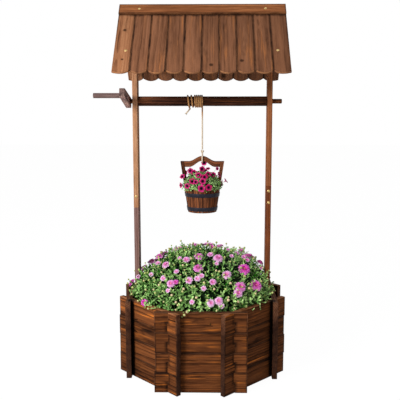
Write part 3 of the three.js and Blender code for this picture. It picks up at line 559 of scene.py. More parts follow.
def woundPoints(turns, rope):  # the rope's middle line after so many turns on the roller
    past = turns - rope["firstLoose"] - rope["loose"]
    crossing = 1 - smoothed(turns / rope["crossing"])
    low, high = rope["lifted"]
    lifted = 1 - smoothed((turns - low) / (high - low))
    x = -rope["pitch"] * rope["dense"] + rope["loosePitch"] * np.clip(past, -rope["loose"], 0)
    x = x + rope["pitch"] * (np.maximum(past, 0) + rope["crossingShare"] * crossing)
    radius = rope["windingRadius"] + rope["pitch"] * lifted
    turn = -2 * math.pi * turns - math.pi / 2
    return np.column_stack([x, -radius * np.cos(turn), radius * np.sin(turn)])


def alongPath(path):  # each point's distance from the start
    return np.concatenate([[0], np.cumsum(np.linalg.norm(np.diff(path, axis=0), axis=1))])


def curveThrough(knots, step):  # Catmull-Rom curve through the knots, with points a step apart
    knots = np.asarray(knots, float)
    ends = np.concatenate([2 * knots[:1] - knots[1:2], knots, 2 * knots[-1:] - knots[-2:-1]])
    p0, p1, p2, p3 = (ends[k:len(ends) - 3 + k, None, :] for k in range(4))
    t = np.linspace(0, 1, 24, endpoint=False)[None, :, None]
    bend = (2 * p0 - 5 * p1 + 4 * p2 - p3) * t**2 + (3 * p1 - p0 - 3 * p2 + p3) * t**3
    curve = 0.5 * (2 * p1 + (p2 - p0) * t + bend)
    curve = np.concatenate([curve.reshape(-1, 3), knots[-1:]])
    length = alongPath(curve)
    even = np.linspace(0, length[-1], max(2, round(length[-1] / step) + 1))
    return np.column_stack([np.interp(even, length, curve[:, k]) for k in range(3)])


def laidRope(path, reference, rope, fray=0):
    # A three-lobed section carried along the path and turned with the lay; grain follows the strands.
    tangent = unit(np.gradient(path, axis=0))
    across = unit(reference - (reference * tangent).sum(axis=1, keepdims=True) * tangent)
    other = np.cross(tangent, across)
    length = alongPath(path)
    turn = fullTurn(rope["sides"])
    strand = turn[None, :] - length[:, None] / rope["lay"] * 2 * math.pi
    lobe = np.abs(np.cos(1.5 * strand))
    flare = 1 + fray * (1 - np.clip(length / rope["frayLength"], 0, 1)) ** 2
    radius = rope["radius"] * (rope["roundness"] + (1 - rope["roundness"]) * lobe**0.7) * flare[:, None]
    shape = ringSolid(path[:, None, :] + radius[..., None] * spokes(turn, across, other))
    grain = np.stack(np.broadcast_arrays(length[:, None], np.cos(strand), np.sin(strand)), axis=-1)
    grain = np.concatenate([grain.reshape(-1, 3), [[length[0], 0, 0], [length[-1], 0, 0]]])
    furrow = np.concatenate([1 - lobe.ravel(), [0.3, 0.3]])
    clean = np.zeros(len(furrow))
    return {**shape, "grain": grain, "furrow": furrow, "handled": clean, "grime": clean}


def addRope(rope):
    start = woundPoints(np.array([0.0]), rope)[0]
    reach, drop = rope["tailReach"], rope["tailDrop"]
    tail = np.array([(start[0] - reach * a, -reach * b, start[2] - drop * c) for a, b, c in rope["tail"]])
    total = rope["firstLoose"] + rope["loose"] + rope["dense"]
    wound = woundPoints(np.linspace(0, total, round(total * 24) + 1), rope)
    end = wound[-1] - np.outer([1, 2], [0, 0, rope["radius"]])
    path = curveThrough(np.concatenate([tail, wound, end]), rope["step"])
    winding = laidRope(path, unit(path * [0, 1, 1]), rope, rope["fray"])
    bareEnd, ease = rope["handledFrom"]
    winding["handled"] = smoothed((winding["grain"][:, 0] - bareEnd) / ease)
    # painted shade: the top of the winding darker, for the roof's shadow on it
    winding["grime"] = rope["grimeOnTop"] * smoothed(2 * winding["points"][:, 2] / rope["windingRadius"] - 1)
    newPiece("rope_on_roller", placed(winding, (0, 0, rope["axle"])), ropeFibre, "windlass", "rope_winding")

    side = np.array([[1.0, 0.0, 0.0]])
    front = -rope["windingRadius"]
    top = rope["axle"] - 2 * rope["radius"] - rope["clearance"]
    low = rope["knot"] + rope["knotRadius"] + rope["clearance"]
    path = curveThrough([(0, front, top), (0, front, (top + low) / 2), (0, front, low)], rope["step"])
    fall = laidRope(path, side, rope)
    below = top - fall["points"][:, 2]
    # painted shade: the fall darker just under the roller, for its shadow
    marks = (("handled", rope["handledAbove"], 1), ("grime", rope["grimeAbove"], rope["fallGrime"]))
    for key, (reach, ease), share in marks:
        fall[key] = share * (1 - smoothed((below - reach) / ease))
    fall = newPiece("rope_down_to_knot", fall, ropeFibre, None, "rope_fall")
    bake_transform(fall)

    # the knot is a trefoil: sin t + 2 sin 2t across, 1.3 sin 3t through, cos t - 2 cos 2t up
    turn = np.linspace(0, 2 * math.pi, 60)
    across, height = np.sin(turn) + 2 * np.sin(2 * turn), np.cos(turn) - 2 * np.cos(2 * turn)
    knot = np.column_stack([across, 1.3 * np.sin(3 * turn), height])
    middle = np.array([0, front, rope["knot"]])
    knot = knot * (rope["knotRadius"] - rope["radius"]) / rope["knotShare"] + middle
    knot = curveThrough(knot, rope["step"])
    knot = laidRope(knot, side + [[0, 3.0, 0]], {**rope, "radius": rope["knotRope"]})
    newPiece("rope_knot_turns", knot, ropeFibre, "rope_end", "rope_knot")

    high, bottom = rope["loopTop"], rope["loopFoot"]
    legs = [(rope["radius"] + rope["loopPlay"], high)]
    legs += [(rope["loopHalf"] * a, high + (bottom - high) * b) for a, b in rope["loop"]]
    knots = [(0, -y, z) for y, z in legs] + [(0, 0, bottom)] + [(0, y, z) for y, z in reversed(legs)]
    loop = laidRope(curveThrough(np.array(knots) + middle, rope["step"]), side, rope)
    newPiece("rope_round_handle", loop, ropeFibre, "bucket", "rope_loop")


addRope(ropePlan)
print("rope laid")


# Planter walls: stacked boards, notched into each other where they cross
wallPlan = {
    "apothem": 0.230, "thickness": 0.016, "course": 0.060, "courses": 4, "stub": 0.0435, "notchPlay": 0.0007,
    "seat": 0.0003, "ease": 0.0014, "endSpread": 0.0038, "cornerTone": 0.2, "toneSpread": 0.15, "seed": 11,
    "sides": ["front", "front_right", "right", "back_right", "back", "back_left", "left", "front_left"],
}


def addWalls(plan):
    rng = np.random.default_rng(plan["seed"])
    turn = math.pi / 4
    thickness, course, ease = plan["thickness"], plan["course"], plan["ease"]
    reach = (plan["apothem"] - thickness / 2) * math.tan(turn / 2)
    wide = (thickness / 2 + plan["notchPlay"]) / math.sin(turn)  # of the neighbour's slanting passage, halved
    deep = course / 2 + plan["seat"] / 2
    near, off = reach - wide, reach + wide
    for side, sideName in enumerate(plan["sides"]):
        for k in range(plan["courses"]):
            left, right = reach + plan["stub"] - rng.uniform(0, plan["endSpread"], 2)
            outline = np.array([
                (-left, 0), (-off, 0), (-off, deep), (-near, deep), (-near, 0), (near, 0), (near, deep),
                (off, deep), (off, 0), (right, 0), (right, course), (-left, course)])
            if side % 2:  # every other side is notched from above
                outline = (outline * [1, -1] + [0, course])[::-1]
            board = easedPrism([outline], thickness, ease)
            x, y, depth = board["points"].T
            atNotch = np.abs(np.abs(x) - reach) < wide + 2 * ease
            board["cut"] = np.where((x < ease - left) | (x > right - ease), 1.0, 0.0)
            board["bare"] = board["wear"] * ((y > course - 1.01 * ease) & (k == plan["courses"] - 1))
            # painted shade: the inner faces of the stubs beyond the notch, darkened for the shadow where the
            # walls cross
            inShadedCorner = (depth < 0.2 * ease) & (np.abs(x) > off)
            slant = np.sign(x) * (thickness / 2 - depth) / math.tan(turn) * atNotch
            board["points"] = np.column_stack([x + slant, y, depth])
            board = grained(board, rng, toneSpread=plan["toneSpread"])
            board["tone"] = board["tone"] * np.where(inShadedCorner, plan["cornerTone"], 1)
            board = placed(board, (0, thickness - plan["apothem"], k * course), frontward)
            name = f"wall_{sideName}_board_{k + 1}"
            newPiece(name + "_planed", turnedAbout(board, 45 * side), woods["wall"], "root", name)


addWalls(wallPlan)
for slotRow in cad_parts["floor_panel"].material_slots:
    slotRow.material = woods["carried"]
print("planter walls built")


# Posts, each of two lengths halved into each other
postPlan = {
    "outerX": 0.2137, "thickness": 0.015, "depth": 0.048, "foot": 0.029, "lap": (0.5115, 0.5805),
    "seat": 0.0003, "axle": 0.840, "hole": 0.0075, "ease": 0.0013, "tilt": 0.006, "seed": 23,
}
roofPlan = {
    "pitch": math.radians(48.4), "ridge": 1.12076, "slope": 0.27639, "length": 0.5016, "boards": 10,
    "thickness": 0.006, "gap": 0.0001, "scallop": 0.011, "vergeScallop": 0.0045, "seat": 0.0003,
    "ease": 0.0009, "shorter": 0.0012, "sunk": 0.0003, "toneAcross": (1.14, 0.86), "toneDown": (1.12, 0.88),
    "toneSpread": 0.05, "battenWidth": 0.024, "battenDepth": (0.0055, 0.0175),
    "battenAt": (0.07193, 0.21439), "battenHalf": 0.2137, "battenPlay": 0.0006, "hiddenTone": 0.8,
    "capReach": 0.03468, "capDepth": (0.0003, 0.0065), "capEase": 0.00105, "capPlay": 0.0002,
    "frameX": (0.2140, 0.2290), "frameDepth": (0.0063, 0.0363), "frameReach": 0.23139, "framePlay": 0.00015,
    "beamHalf": 0.015, "beamFoot": 1.07276, "beamX": 0.1984, "seed": 31,
}

# The slope's own axes: across, up the slope and out of it
roofCosine, roofSine = math.cos(roofPlan["pitch"]), math.sin(roofPlan["pitch"])
slopeAxes = np.array([(1, 0, 0), (0, roofCosine, roofSine), (0, -roofSine, roofCosine)])


def underRoof(half):  # the top of a post or beam, just under the roof boards, from its front to its back
    roof = roofPlan
    under = (roof["thickness"] + roof["seat"]) / math.cos(roof["pitch"])
    return [(y, roof["ridge"] - abs(y) * math.tan(roof["pitch"]) - under) for y in (half, 0, -half)]


def addPosts(plan):
    rng = np.random.default_rng(plan["seed"])
    half, seat = plan["depth"] / 2, plan["seat"]
    low, high = plan["lap"]
    foot = plan["foot"]
    lower = [(-half, foot), (half, foot), (half, high), (seat / 2, high), (seat / 2, low), (-half, low)]
    upper = [(-half, low + seat), (-seat / 2, low + seat), (-seat / 2, high + seat), (half, high + seat)]
    upper += underRoof(half)
    hole = holeOutline(0, plan["axle"], plan["hole"])
    for name, turn in (("left", 0), ("right", 180)):
        for part, loops in (("lower", [lower]), ("upper", [upper, hole])):
            post = easedPrism(loops, plan["thickness"], plan["ease"])
            post = grained(post, rng, order=(1, 0, 2), tilt=plan["tilt"])
            post = turnedAbout(placed(post, (-plan["outerX"], 0, 0), crosswise), turn)
            wood = woods[name + part.title()]
            newPiece(f"{name}_{part}_post_planed", post, wood, "root", f"{name}_{part}_post")


addPosts(postPlan)


# Roof: boards with rounded ends on battens, ridge caps, gable frames and ridge beam

def rectangle(left, right, low, high):
    return [(left, low), (right, low), (right, high), (left, high)]


def boardOutline(roof, half, rises, shorter):
    # The lower end is an arc to each side of the middle: radius less the root of its square less x squared.
    lower = shorter - roof["slope"]
    upper = -(roof["seat"] + roof["thickness"] * math.sin(roof["pitch"])) / math.cos(roof["pitch"])
    x = np.linspace(-half, half, 25)
    rise = np.where(x < 0, *rises)
    radius = (half**2 + rise**2) / (2 * rise)
    arc = np.column_stack([x, lower + radius - np.sqrt(radius**2 - x**2)])
    return np.concatenate([[(-half, upper)], arc, [(half, upper)]])


def addRoof(roof):
    rng = np.random.default_rng(roof["seed"])
    ridge = np.array([0, 0, roof["ridge"]])
    spacing, long = roof["length"] / roof["boards"], roof["length"] / 2
    for name, turn in (("front", 0), ("back", 180)):
        boards, verges = [], []
        for k in range(roof["boards"]):
            ends = (k == 0, k == roof["boards"] - 1)
            rises = [roof["vergeScallop" if outer else "scallop"] for outer in ends]
            outline = boardOutline(roof, (spacing - roof["gap"]) / 2, rises, rng.uniform(0, roof["shorter"]))
            middle = (k + 0.5) * spacing - long
            fromLeft = 0.5 + middle / roof["length"] * (-1 if turn else 1)
            board = easedPrism([outline], roof["thickness"], roof["ease"])
            board["bare"] = board["wear"] * (board["points"][:, 1] < outline[2:-2, 1].max())
            # painted light and shade: boards lighter toward the left end, where light falls, and darker
            # toward the right
            tone = np.interp(fromLeft, (0, 1), roof["toneAcross"])
            board = grained(board, rng, order=(1, 0, 2), tone=tone, toneSpread=roof["toneSpread"])
            tone = np.interp(board["points"][:, 1], (-roof["slope"], 0), roof["toneDown"])
            board["tone"] = board["tone"] * tone
            board = placed(board, (middle, 0, -roof["thickness"] - rng.uniform(0, roof["sunk"])))
            (verges if ends[1 if turn else 0] else boards).append(board)  # the end at the left of the picture
        top, bottom = roof["battenDepth"]
        for at in roof["battenAt"]:
            wide = roof["battenWidth"] / 2
            outline = rectangle(-roof["battenHalf"], roof["battenHalf"], -at - wide, -at + wide)
            batten = easedPrism([outline], bottom - top - roof["battenPlay"])
            batten = grained({**batten, "bare": 0 * batten["wear"]}, rng, tone=roof["hiddenTone"])
            boards.append(placed(batten, (0, 0, -bottom)))
        for part, shapes, wood in (("boards", boards, "roof"), ("verge_boards", verges, "verge")):
            whole = turnedAbout(placed(joined(shapes), ridge, slopeAxes), turn)
            newPiece(f"{name}_roof_{part}", whole, woods[wood], "root", f"{name}_roof_panel")

        low, high = roof["capDepth"]
        foot = -roof["capReach"]
        cap = easedPrism([rectangle(-long, long, foot, 0)], high - low, roof["capEase"])
        share = np.clip((cap["points"][:, 1] - foot) / -foot, 0, 1)
        lean = (cap["points"][:, 2] + low) * math.tan(roof["pitch"]) - roof["capPlay"]
        cap["points"][:, 1] += share * lean
        cap = placed(placed(grained(cap, rng), (0, 0, low)), ridge, slopeAxes)
        cap = turnedAbout(cap, turn)
        newPiece(f"{name}_ridge_cap_planed", cap, woods["trim"], "root", f"{name}_ridge_cap")

    top, bottom = roof["frameDepth"]
    reach, play = roof["frameReach"], roof["framePlay"]
    outline = [(-reach, -bottom), (-(play + bottom * roofSine) / roofCosine, -bottom),
               (-(play + top * roofSine) / roofCosine, -top), (-reach, -top)]
    inner, outer = roof["frameX"]
    for name, starts in (("left", (-outer, inner)), ("right", (inner, -outer))):
        rafters = []
        for start, turn in zip(starts, (0, 180)):
            rafter = grained(easedPrism([outline], outer - inner), rng)
            rafters.append(turnedAbout(placed(rafter, ridge + [start, 0, 0], slopeAxes[[1, 2, 0]]), turn))
        newPiece(f"{name}_gable_rafters", joined(rafters), woods["shade"], "root", f"{name}_gable_frame")

    half, foot = roof["beamHalf"], roof["beamFoot"]
    outline = [(-half, foot), (half, foot)] + underRoof(half)
    beam = grained(easedPrism([outline], 2 * roof["beamX"]), rng, order=(2, 0, 1))
    beam = placed(beam, (-roof["beamX"], 0, 0), crosswise)
    newPiece("ridge_beam_sawn", beam, woods["shade"], "root", "ridge_beam")


addRoof(roofPlan)
print("posts and roof built")


# Windlass: turned roller and grip, crank arm
windlassPlan = {
    "axle": 0.840, "roller": 0.01475, "rollerHalf": 0.1984, "peg": 0.0071, "left": -0.2394, "right": 0.2442,
    "shoulder": 0.0015, "pegEase": 0.0008, "step": 0.0001, "uneven": 0.012, "logSpread": 0.02,
    "rollerTone": (1.55, 0.82), "toneUpTo": -0.03, "pegTone": 0.6,
    "armX": (-0.2394, -0.2229), "armHalf": (0.013, 0.016), "armTail": 0.028, "armNose": 0.120, "throw": 0.078,
    "tilt": math.radians(11), "corner": 0.004, "armEase": 0.0016, "armBorder": 0.0012, "holePlay": 0.0003,
    "armTone": 1.45, "undersideTone": 1.8, "underside": 0.8, "noseTone": 0.62, "noseDepth": 0.002,
    "grip": 0.0076, "gripEnd": -0.3224, "gripTone": 0.93, "seed": 41,
}


def roundedBox(low, high, radius, steps=5):  # an outline with quarter circles at its corners
    turn = np.linspace(0, math.pi / 2, steps)
    quarter = np.column_stack([np.cos(turn), np.sin(turn)]) * radius
    spots = rectangle(high[0] - radius, low[0] + radius, high[1] - radius, low[1] + radius)
    corners = []
    for k, spot in enumerate(spots):
        c, s = round(math.cos(k * math.pi / 2)), round(math.sin(k * math.pi / 2))
        corners.append(quarter @ np.array([[c, s], [-s, c]]) + spot)
    return np.concatenate(corners)


def shouldered(start, end, radius, ease):  # a turned length with rounded shoulders
    rounding = [(ease * (1 - math.cos(a)), radius - ease * (1 - math.sin(a))) for a in quarterTurn]
    middle = np.linspace(start + 2 * ease, end - 2 * ease, 24)
    last = [(end - along, out) for along, out in rounding[::-1]]
    return [(start + along, out) for along, out in rounding] + [(x, radius) for x in middle] + last


def addWindlass(plan):
    rng = np.random.default_rng(plan["seed"])
    half, peg, ease = plan["rollerHalf"], plan["peg"], plan["pegEase"]
    profile = [(plan["left"], peg - ease), (plan["left"] + ease, peg), (-half - plan["step"], peg)]
    profile += shouldered(-half, half, plan["roller"], plan["shoulder"])
    profile += [(half + plan["step"], peg)]
    profile += shouldered(half + 0.001, plan["right"], peg, plan["shoulder"])[5:]
    rings = lathed(profile, 40)
    uneven = 1 + plan["uneven"] * np.sin(rings[..., 0] * 37 + np.arctan2(rings[..., 2], rings[..., 1]))
    rings[..., 1:] *= np.minimum(uneven, 1)[..., None]
    roller = grained(ringSolid(rings), rng, spread=plan["logSpread"])
    x = roller["points"][:, 0]
    # painted light and shade: the roller lighter at its left end, in the light, and darker toward its middle,
    # under the roof's shadow
    tone = np.interp(x, (-half, plan["toneUpTo"]), plan["rollerTone"])
    roller["tone"] = roller["tone"] * np.where(x < -half, plan["pegTone"], tone)
    roller = placed(roller, (0, 0, plan["axle"]))
    newPiece("turned_roller", roller, woods["shade"], "windlass", "windlass_roller")

    noseHalf, tailHalf = plan["armHalf"]
    outline = roundedBox((-plan["armNose"], -tailHalf), (plan["armTail"], tailHalf), plan["corner"])
    fromTail = (plan["armTail"] - outline[:, 0]) / (plan["armTail"] + plan["armNose"])
    outline[:, 1] *= 1 - (1 - noseHalf / tailHalf) * fromTail  # narrower toward its nose
    holes = ((0, peg), (-plan["throw"], plan["grip"]))
    holes = [holeOutline(x, 0, radius + plan["holePlay"]) for x, radius in holes]
    arm = easedPrism([outline] + holes, plan["armX"][1] - plan["armX"][0], plan["armEase"], plan["armBorder"])
    arm = grained(arm, rng, tone=plan["armTone"])
    along, across = arm["points"][:, 0], arm["points"][:, 1]
    # painted light: the arm's underside made brighter than the rest
    underside = (across < -plan["underside"] * noseHalf) & (arm["wear"] > 0)
    atNose = along < plan["noseDepth"] - plan["armNose"]
    for chosen, tone in ((underside, plan["undersideTone"]), (atNose, plan["noseTone"])):
        arm["tone"] = arm["tone"] * np.where(chosen, tone, 1)
    cosine, sine = math.cos(plan["tilt"]), math.sin(plan["tilt"])
    arm = placed(arm, (plan["armX"][0], 0, plan["axle"]), [(0, cosine, -sine), (0, sine, cosine), (1, 0, 0)])
    newPiece("sawn_crank_arm", arm, woods["weathered"], "windlass", "crank_arm")

    grip = lathed(shouldered(plan["gripEnd"], plan["armX"][1], plan["grip"], plan["shoulder"]), 36)
    grip = grained(ringSolid(grip), rng, spread=plan["logSpread"], tone=plan["gripTone"])
    grip = placed(grip, (0, -plan["throw"] * cosine, plan["axle"] + plan["throw"] * sine))
    newPiece("turned_crank_grip", grip, woods["weathered"], "windlass", "crank_grip")


addWindlass(windlassPlan)
print("windlass built")


# Bucket: staves, two ears, handle, floor and hoops, about its own upright axis
bucketPlan = {
    "axisY": -0.01745, "bottom": 0.4995, "radius": 0.0445, "flare": 0.1487, "rim": 0.078, "staves": 14,
    "thickness": 0.009, "groove": 0.0003, "ease": 0.0009, "joint": 0.00025, "shorter": 0.0006,
    "toneSpread": 0.1, "floor": (0.004, 0.012), "floorLap": 0.001, "floorHalf": 0.0332, "floorEase": 0.0006,
    "floorTone": 0.8, "earThickness": 0.011, "earTop": 0.157, "earTopHalf": 0.011, "logSpread": 0.05,
    "rise": 0.016, "archShare": 0.74, "endDepth": 0.0175, "middleDepth": 0.0149, "handlePlay": 0.0003,
    "handleHalf": 0.009, "handleEase": 0.003, "handleReach": 0.057, "handleSpread": 0.03,
    "handleTone": 1.12, "hoopWidth": 0.012, "hoopThickness": 0.0012, "hoopPlay": 0.0003,
    "hoopAt": (0.0116, 0.055),
    "rivetsAt": (118, 128), "rivetWear": 0.6,  # degrees round from the right
    "rivet": [(-0.0006, 0.0022), (0.0002, 0.0022), (0.0008, 0.0018), (0.0012, 0.001), (0.0013, 0.0004)],
    "seed": 53,
}
bucketFoot = np.array([0, bucketPlan["axisY"], bucketPlan["bottom"]])


def bucketRadius(height, plan=bucketPlan):
    return plan["radius"] + plan["flare"] * height


def roundSection(outline, ease, steps=3):
    # Every corner of an outline becomes a short curve from one edge to the next; works on whole rings.
    before = unit(np.roll(outline, 1, axis=-2) - outline)
    after = unit(np.roll(outline, -1, axis=-2) - outline)
    t = np.linspace(0, 1, steps)[:, None]
    start, end = outline + ease * before, outline + ease * after
    start, end, corner = (v[..., :, None, :] for v in (start, end, outline))
    curve = (1 - t) ** 2 * start + 2 * t * (1 - t) * corner + t**2 * end
    return curve.reshape(*outline.shape[:-2], -1, 3)


def staveRings(heights, insets, half, isEar, plan):
    # Outer face on the bucket's cone, inner face parallel to it (or flat for an ear), joints on radii.
    outer, inset = bucketRadius(heights)[:, None], insets[:, None]
    shares = np.linspace(-1, 1, 7)
    shrink = 1 - inset / (outer * np.maximum(half[:, None], 1e-6))
    turn = shares * half[:, None] * shrink
    face = polar(outer - inset - plan["groove"] * np.abs(shares) ** 6, turn, heights[:, None])
    turn = turn[:, ::-1]
    if isEar:
        inner = outer - plan["earThickness"] + 0 * turn
        back = np.stack(np.broadcast_arrays(inner, inner * np.tan(turn), heights[:, None]), axis=-1)
    else:
        back = polar(outer - plan["thickness"], turn, heights[:, None])
    return np.concatenate([face, back + insets[:, None, None] * [1, 0, 0]], axis=1)


def addBucket(plan):
    rng = np.random.default_rng(plan["seed"])
    rim, ease, step = plan["rim"], plan["ease"], 2 * math.pi / plan["staves"]
    parts = {"side": [], "right": [], "left": []}
    for k in range(plan["staves"]):
        isEar = k % (plan["staves"] // 2) == 0
        top, levels = (plan["earTop"], 9) if isEar else (rim - rng.uniform(0, plan["shorter"]), 5)
        between = np.linspace(0, top, levels)[1:-1]
        heights = np.concatenate([[0, ease * 0.3, ease], between, [top - ease, top - ease * 0.3, top]])
        insets = np.concatenate([[ease, ease * 0.3, 0], 0 * between, [0, ease * 0.3, ease]])
        half = step / 2 - plan["joint"] / bucketRadius(heights)
        if isEar:
            share = np.clip((heights - rim) / (plan["earTop"] - rim), 0, 1)
            wide = bucketRadius(rim) * math.sin(step / 2) * (1 - share) + plan["earTopHalf"] * share
            half = np.where(share > 0, np.arcsin(wide / bucketRadius(heights)), half)
        stave = ringSolid(staveRings(heights, insets, half, isEar, plan), np.where(insets > 0, 1.0, 0.0))
        leaning = stave["points"]
        stave["points"] = leaning - np.outer(leaning[:, 2], [plan["flare"], 0, 0])  # upright, for the grain
        stave = grained(stave, rng, order=(2, 1, 0), spread=plan["logSpread"], toneSpread=plan["toneSpread"])
        stave = turnedAbout({**stave, "points": leaning}, math.degrees(step) * k)
        parts[("left" if k else "right") if isEar else "side"].append(stave)

    low, high = plan["floor"]
    disc = polar(bucketRadius(low) - plan["thickness"] + plan["floorLap"], fullTurn(48), 0)[:, :2]
    disc[:, 0] = np.clip(disc[:, 0], -plan["floorHalf"], plan["floorHalf"])
    floor = placed(easedPrism([disc], high - low, plan["floorEase"]), (0, 0, low))
    parts["side"].append(grained(floor, rng, tone=plan["floorTone"]))
    for name, part, node in (("side_staves", "side", "tub"), ("right_long_stave", "right", "right_ear"),
                             ("left_long_stave", "left", "left_ear")):
        staves = placed(joined(parts[part]), bucketFoot)
        newPiece(f"bucket_{name}", staves, woods["stave"], "bucket", f"bucket_{node}")

    # the handle's top is a raised cosine over its arch; its section is a rectangle with rounded corners
    share = np.linspace(-1, 1, 49)
    arch = (1 + np.cos(math.pi * np.minimum(np.abs(share) / plan["archShare"], 1))) / 2
    top = plan["earTop"] + plan["rise"] * arch
    under = top - (plan["endDepth"] * (1 - arch) + plan["middleDepth"] * arch)
    half = plan["handleHalf"] + 0 * top
    section = np.stack([np.column_stack(c) for c in rectangle(-half, half, under, top)], axis=1)
    reach = bucketRadius(section[..., 1]) - plan["earThickness"] - plan["handlePlay"]
    rings = np.concatenate([(share[:, None] * reach)[..., None], section], axis=-1)
    handle = ringSolid(roundSection(rings, plan["handleEase"], 6))
    bent = handle["points"]
    bend = np.interp(bent[:, 0] / plan["handleReach"], share, (top + under) / 2)
    handle["points"] = bent - np.outer(bend, [0, 0, 1])  # straight, for the grain
    handle = grained(handle, rng, spread=plan["handleSpread"], tone=plan["handleTone"])
    handle = placed({**handle, "points": bent}, bucketFoot)
    newPiece("bucket_arched_handle", handle, woods["stave"], "bucket", "bucket_handle")


addBucket(bucketPlan)
print("bucket coopered")


def hoopMaterial():
    def fill(tree):
        place = objectPlace(tree)
        patch = cloud(tree, place, (90, 90, 90), 4, 0.6)
        scratch = cloud(tree, place, (60, 60, 900), 2)
        level = plus(tree, times(tree, patch, 0.7), times(tree, scratch, 0.3))
        colour = ramp(tree, level, (0.3, 0.55, 0.8), ((9, 9, 16), (23, 22, 34), (48, 47, 62)))
        rust = ranged(tree, cloud(tree, place, (150, 150, 150), 3, shift=(4, 4, 4)), 0.62, 0.75, 0, 0.5)
        colour = washed(tree, rust, colour, (66, 44, 36))
        colour = washed(tree, times(tree, attribute(tree, "wear"), 0.35), colour, (96, 95, 108))
        gloss = ranged(tree, level, 0.3, 0.7, 0.4, 0.62)
        return surface(tree, colour, gloss, patch, 0.0004, {"Metallic": 0.3, "Specular IOR Level": 0.22})

    return newMaterial("darkHoopSteel", fill)


def addHoops(plan):
    # A band on the cone with half-round edges, and the two rivets of its joint, at the back.
    steel = hoopMaterial()
    around = fullTurn(72)
    edge = np.radians([-90, -45, 0, 45, 90])
    half, thick = plan["hoopWidth"] / 2, plan["hoopThickness"]
    rounded = thick / 2
    high = half - rounded + rounded * np.cos(edge)
    height = np.concatenate([high, -high])[::-1]
    out = np.concatenate([rounded * np.sin(edge), -rounded * np.sin(edge)])[::-1]
    for name, middle in zip(("lower", "upper"), plan["hoopAt"]):
        level = height + middle
        radius = bucketRadius(level) + plan["hoopPlay"] + rounded + out
        band = polar(radius[:, None], around, level[:, None]).reshape(-1, 3)
        wear = np.repeat(np.tile([0.2, 1, 1, 1, 0.2], 2), len(around))
        quads = gridQuads(len(level) + 1, len(around)) % len(band)
        parts = [{"points": band, "quads": quads, "triangles": noTriangles, "wear": wear}]
        for turn in np.radians(plan["rivetsAt"]):
            dome = ringSolid(lathed(plan["rivet"], 14), np.full(len(plan["rivet"]), plan["rivetWear"]))
            outward = np.array([math.cos(turn), math.sin(turn), 0])
            spot = outward * (bucketRadius(middle) + plan["hoopPlay"] + thick) + [0, 0, middle]
            parts.append(placed(dome, spot, [outward, (-math.sin(turn), math.cos(turn), 0), (0, 0, 1)]))
        hoop = placed(joined(parts), bucketFoot)
        newPiece(f"bucket_{name}_rolled_hoop", hoop, steel, "bucket", f"bucket_{name}_hoop", sharp=60)


addHoops(bucketPlan)


# Screws: round brass heads with a cross recess
screwPlan = {
    "radius": 0.0042, "dome": 0.0014, "foot": 0.0008, "recess": 0.0009, "arm": 0.17, "reach": 0.62,
    "steps": 15,
    "cap": (0.189, 0.014, 0.0064), "endBoard": (0.217, 0.187, 0),  # across, down the slope and out of it
    "frontPost": {-1: (0.546,), 1: (0.564, 0.528)}, "postX": 0.2062, "postY": 0.024,
    "wallPost": (0.09, 0.18), "wallX": 0.230, "wallY": 0.012,
}


def brassMaterial():
    def fill(tree):
        level = cloud(tree, objectPlace(tree), (700, 700, 700), 3)
        colour = ramp(tree, level, (0.3, 0.6, 0.85), ((150, 120, 70), (206, 180, 122), (236, 220, 176)))
        roughness = ranged(tree, level, 0.3, 0.8, 0.3, 0.5)
        return surface(tree, colour, roughness, level, 0.0002, {"Metallic": 0.85})

    return newMaterial("brassScrewHead", fill)


def screwHead(plan):
    # A square grid drawn onto a disc; a dome with a cross sunk in it, and a flat underside.
    side = np.linspace(-1, 1, plan["steps"])
    u, v = np.meshgrid(side, side)
    x, y = u * np.sqrt(1 - v**2 / 2), v * np.sqrt(1 - u**2 / 2)
    wide, tall = np.abs(u), np.abs(v)
    cross = (np.minimum(wide, tall) < plan["arm"]) & (np.maximum(wide, tall) < plan["reach"])
    z = plan["dome"] * (1 - x**2 - y**2) - plan["recess"] * cross
    top = np.stack([x * plan["radius"], y * plan["radius"], z], axis=-1).reshape(-1, 3)
    inner = (wide < 0.99) & (tall < 0.99)
    below = np.arange(u.size).reshape(u.shape)
    below[inner] = u.size + np.arange(inner.sum())
    under = top[inner.ravel()] * [1, 1, 0] - [0, 0, plan["foot"]]
    quads = bothSides(gridQuads(*u.shape, closed=False), below)
    return {"points": np.concatenate([top, under]), "quads": quads, "triangles": noTriangles}


def addScrews(plan):
    brass, head = brassMaterial(), screwHead(plan)
    onRoof = []
    for turn in (0, 180):
        for side in (-1, 1):
            for across, down, out in (plan["cap"], plan["endBoard"]):
                spot = [0, 0, roofPlan["ridge"]] + np.array([side * across, -down, out]) @ slopeAxes
                onRoof.append(turnedAbout(placed(head, spot, slopeAxes), turn))
    newPiece("roof_screws", joined(onRoof), brass, "root")
    onPosts = []
    for turn, x in ((0, 1), (180, -1)):
        for side, heights in plan["frontPost"].items():
            for z in heights:
                spot = (x * side * plan["postX"], -plan["postY"], z)
                onPosts.append(turnedAbout(placed(head, spot, frontward), turn))
    for turn in (0, 180):
        for z in plan["wallPost"]:
            for side in (-1, 1):
                spot = (plan["wallX"], side * plan["wallY"], z)
                onPosts.append(turnedAbout(placed(head, spot, crosswise), turn))
    newPiece("post_screws", joined(onPosts), brass, "root")


addScrews(screwPlan)
print("hoops and screws fitted")


# Planting

def unevenly(tree, value, noise, share):  # a value with its share of noise, kept between 0 and 1
    return plus(tree, value, times(tree, maths(tree, "SUBTRACT", noise, 0.5), share), clamp=True)


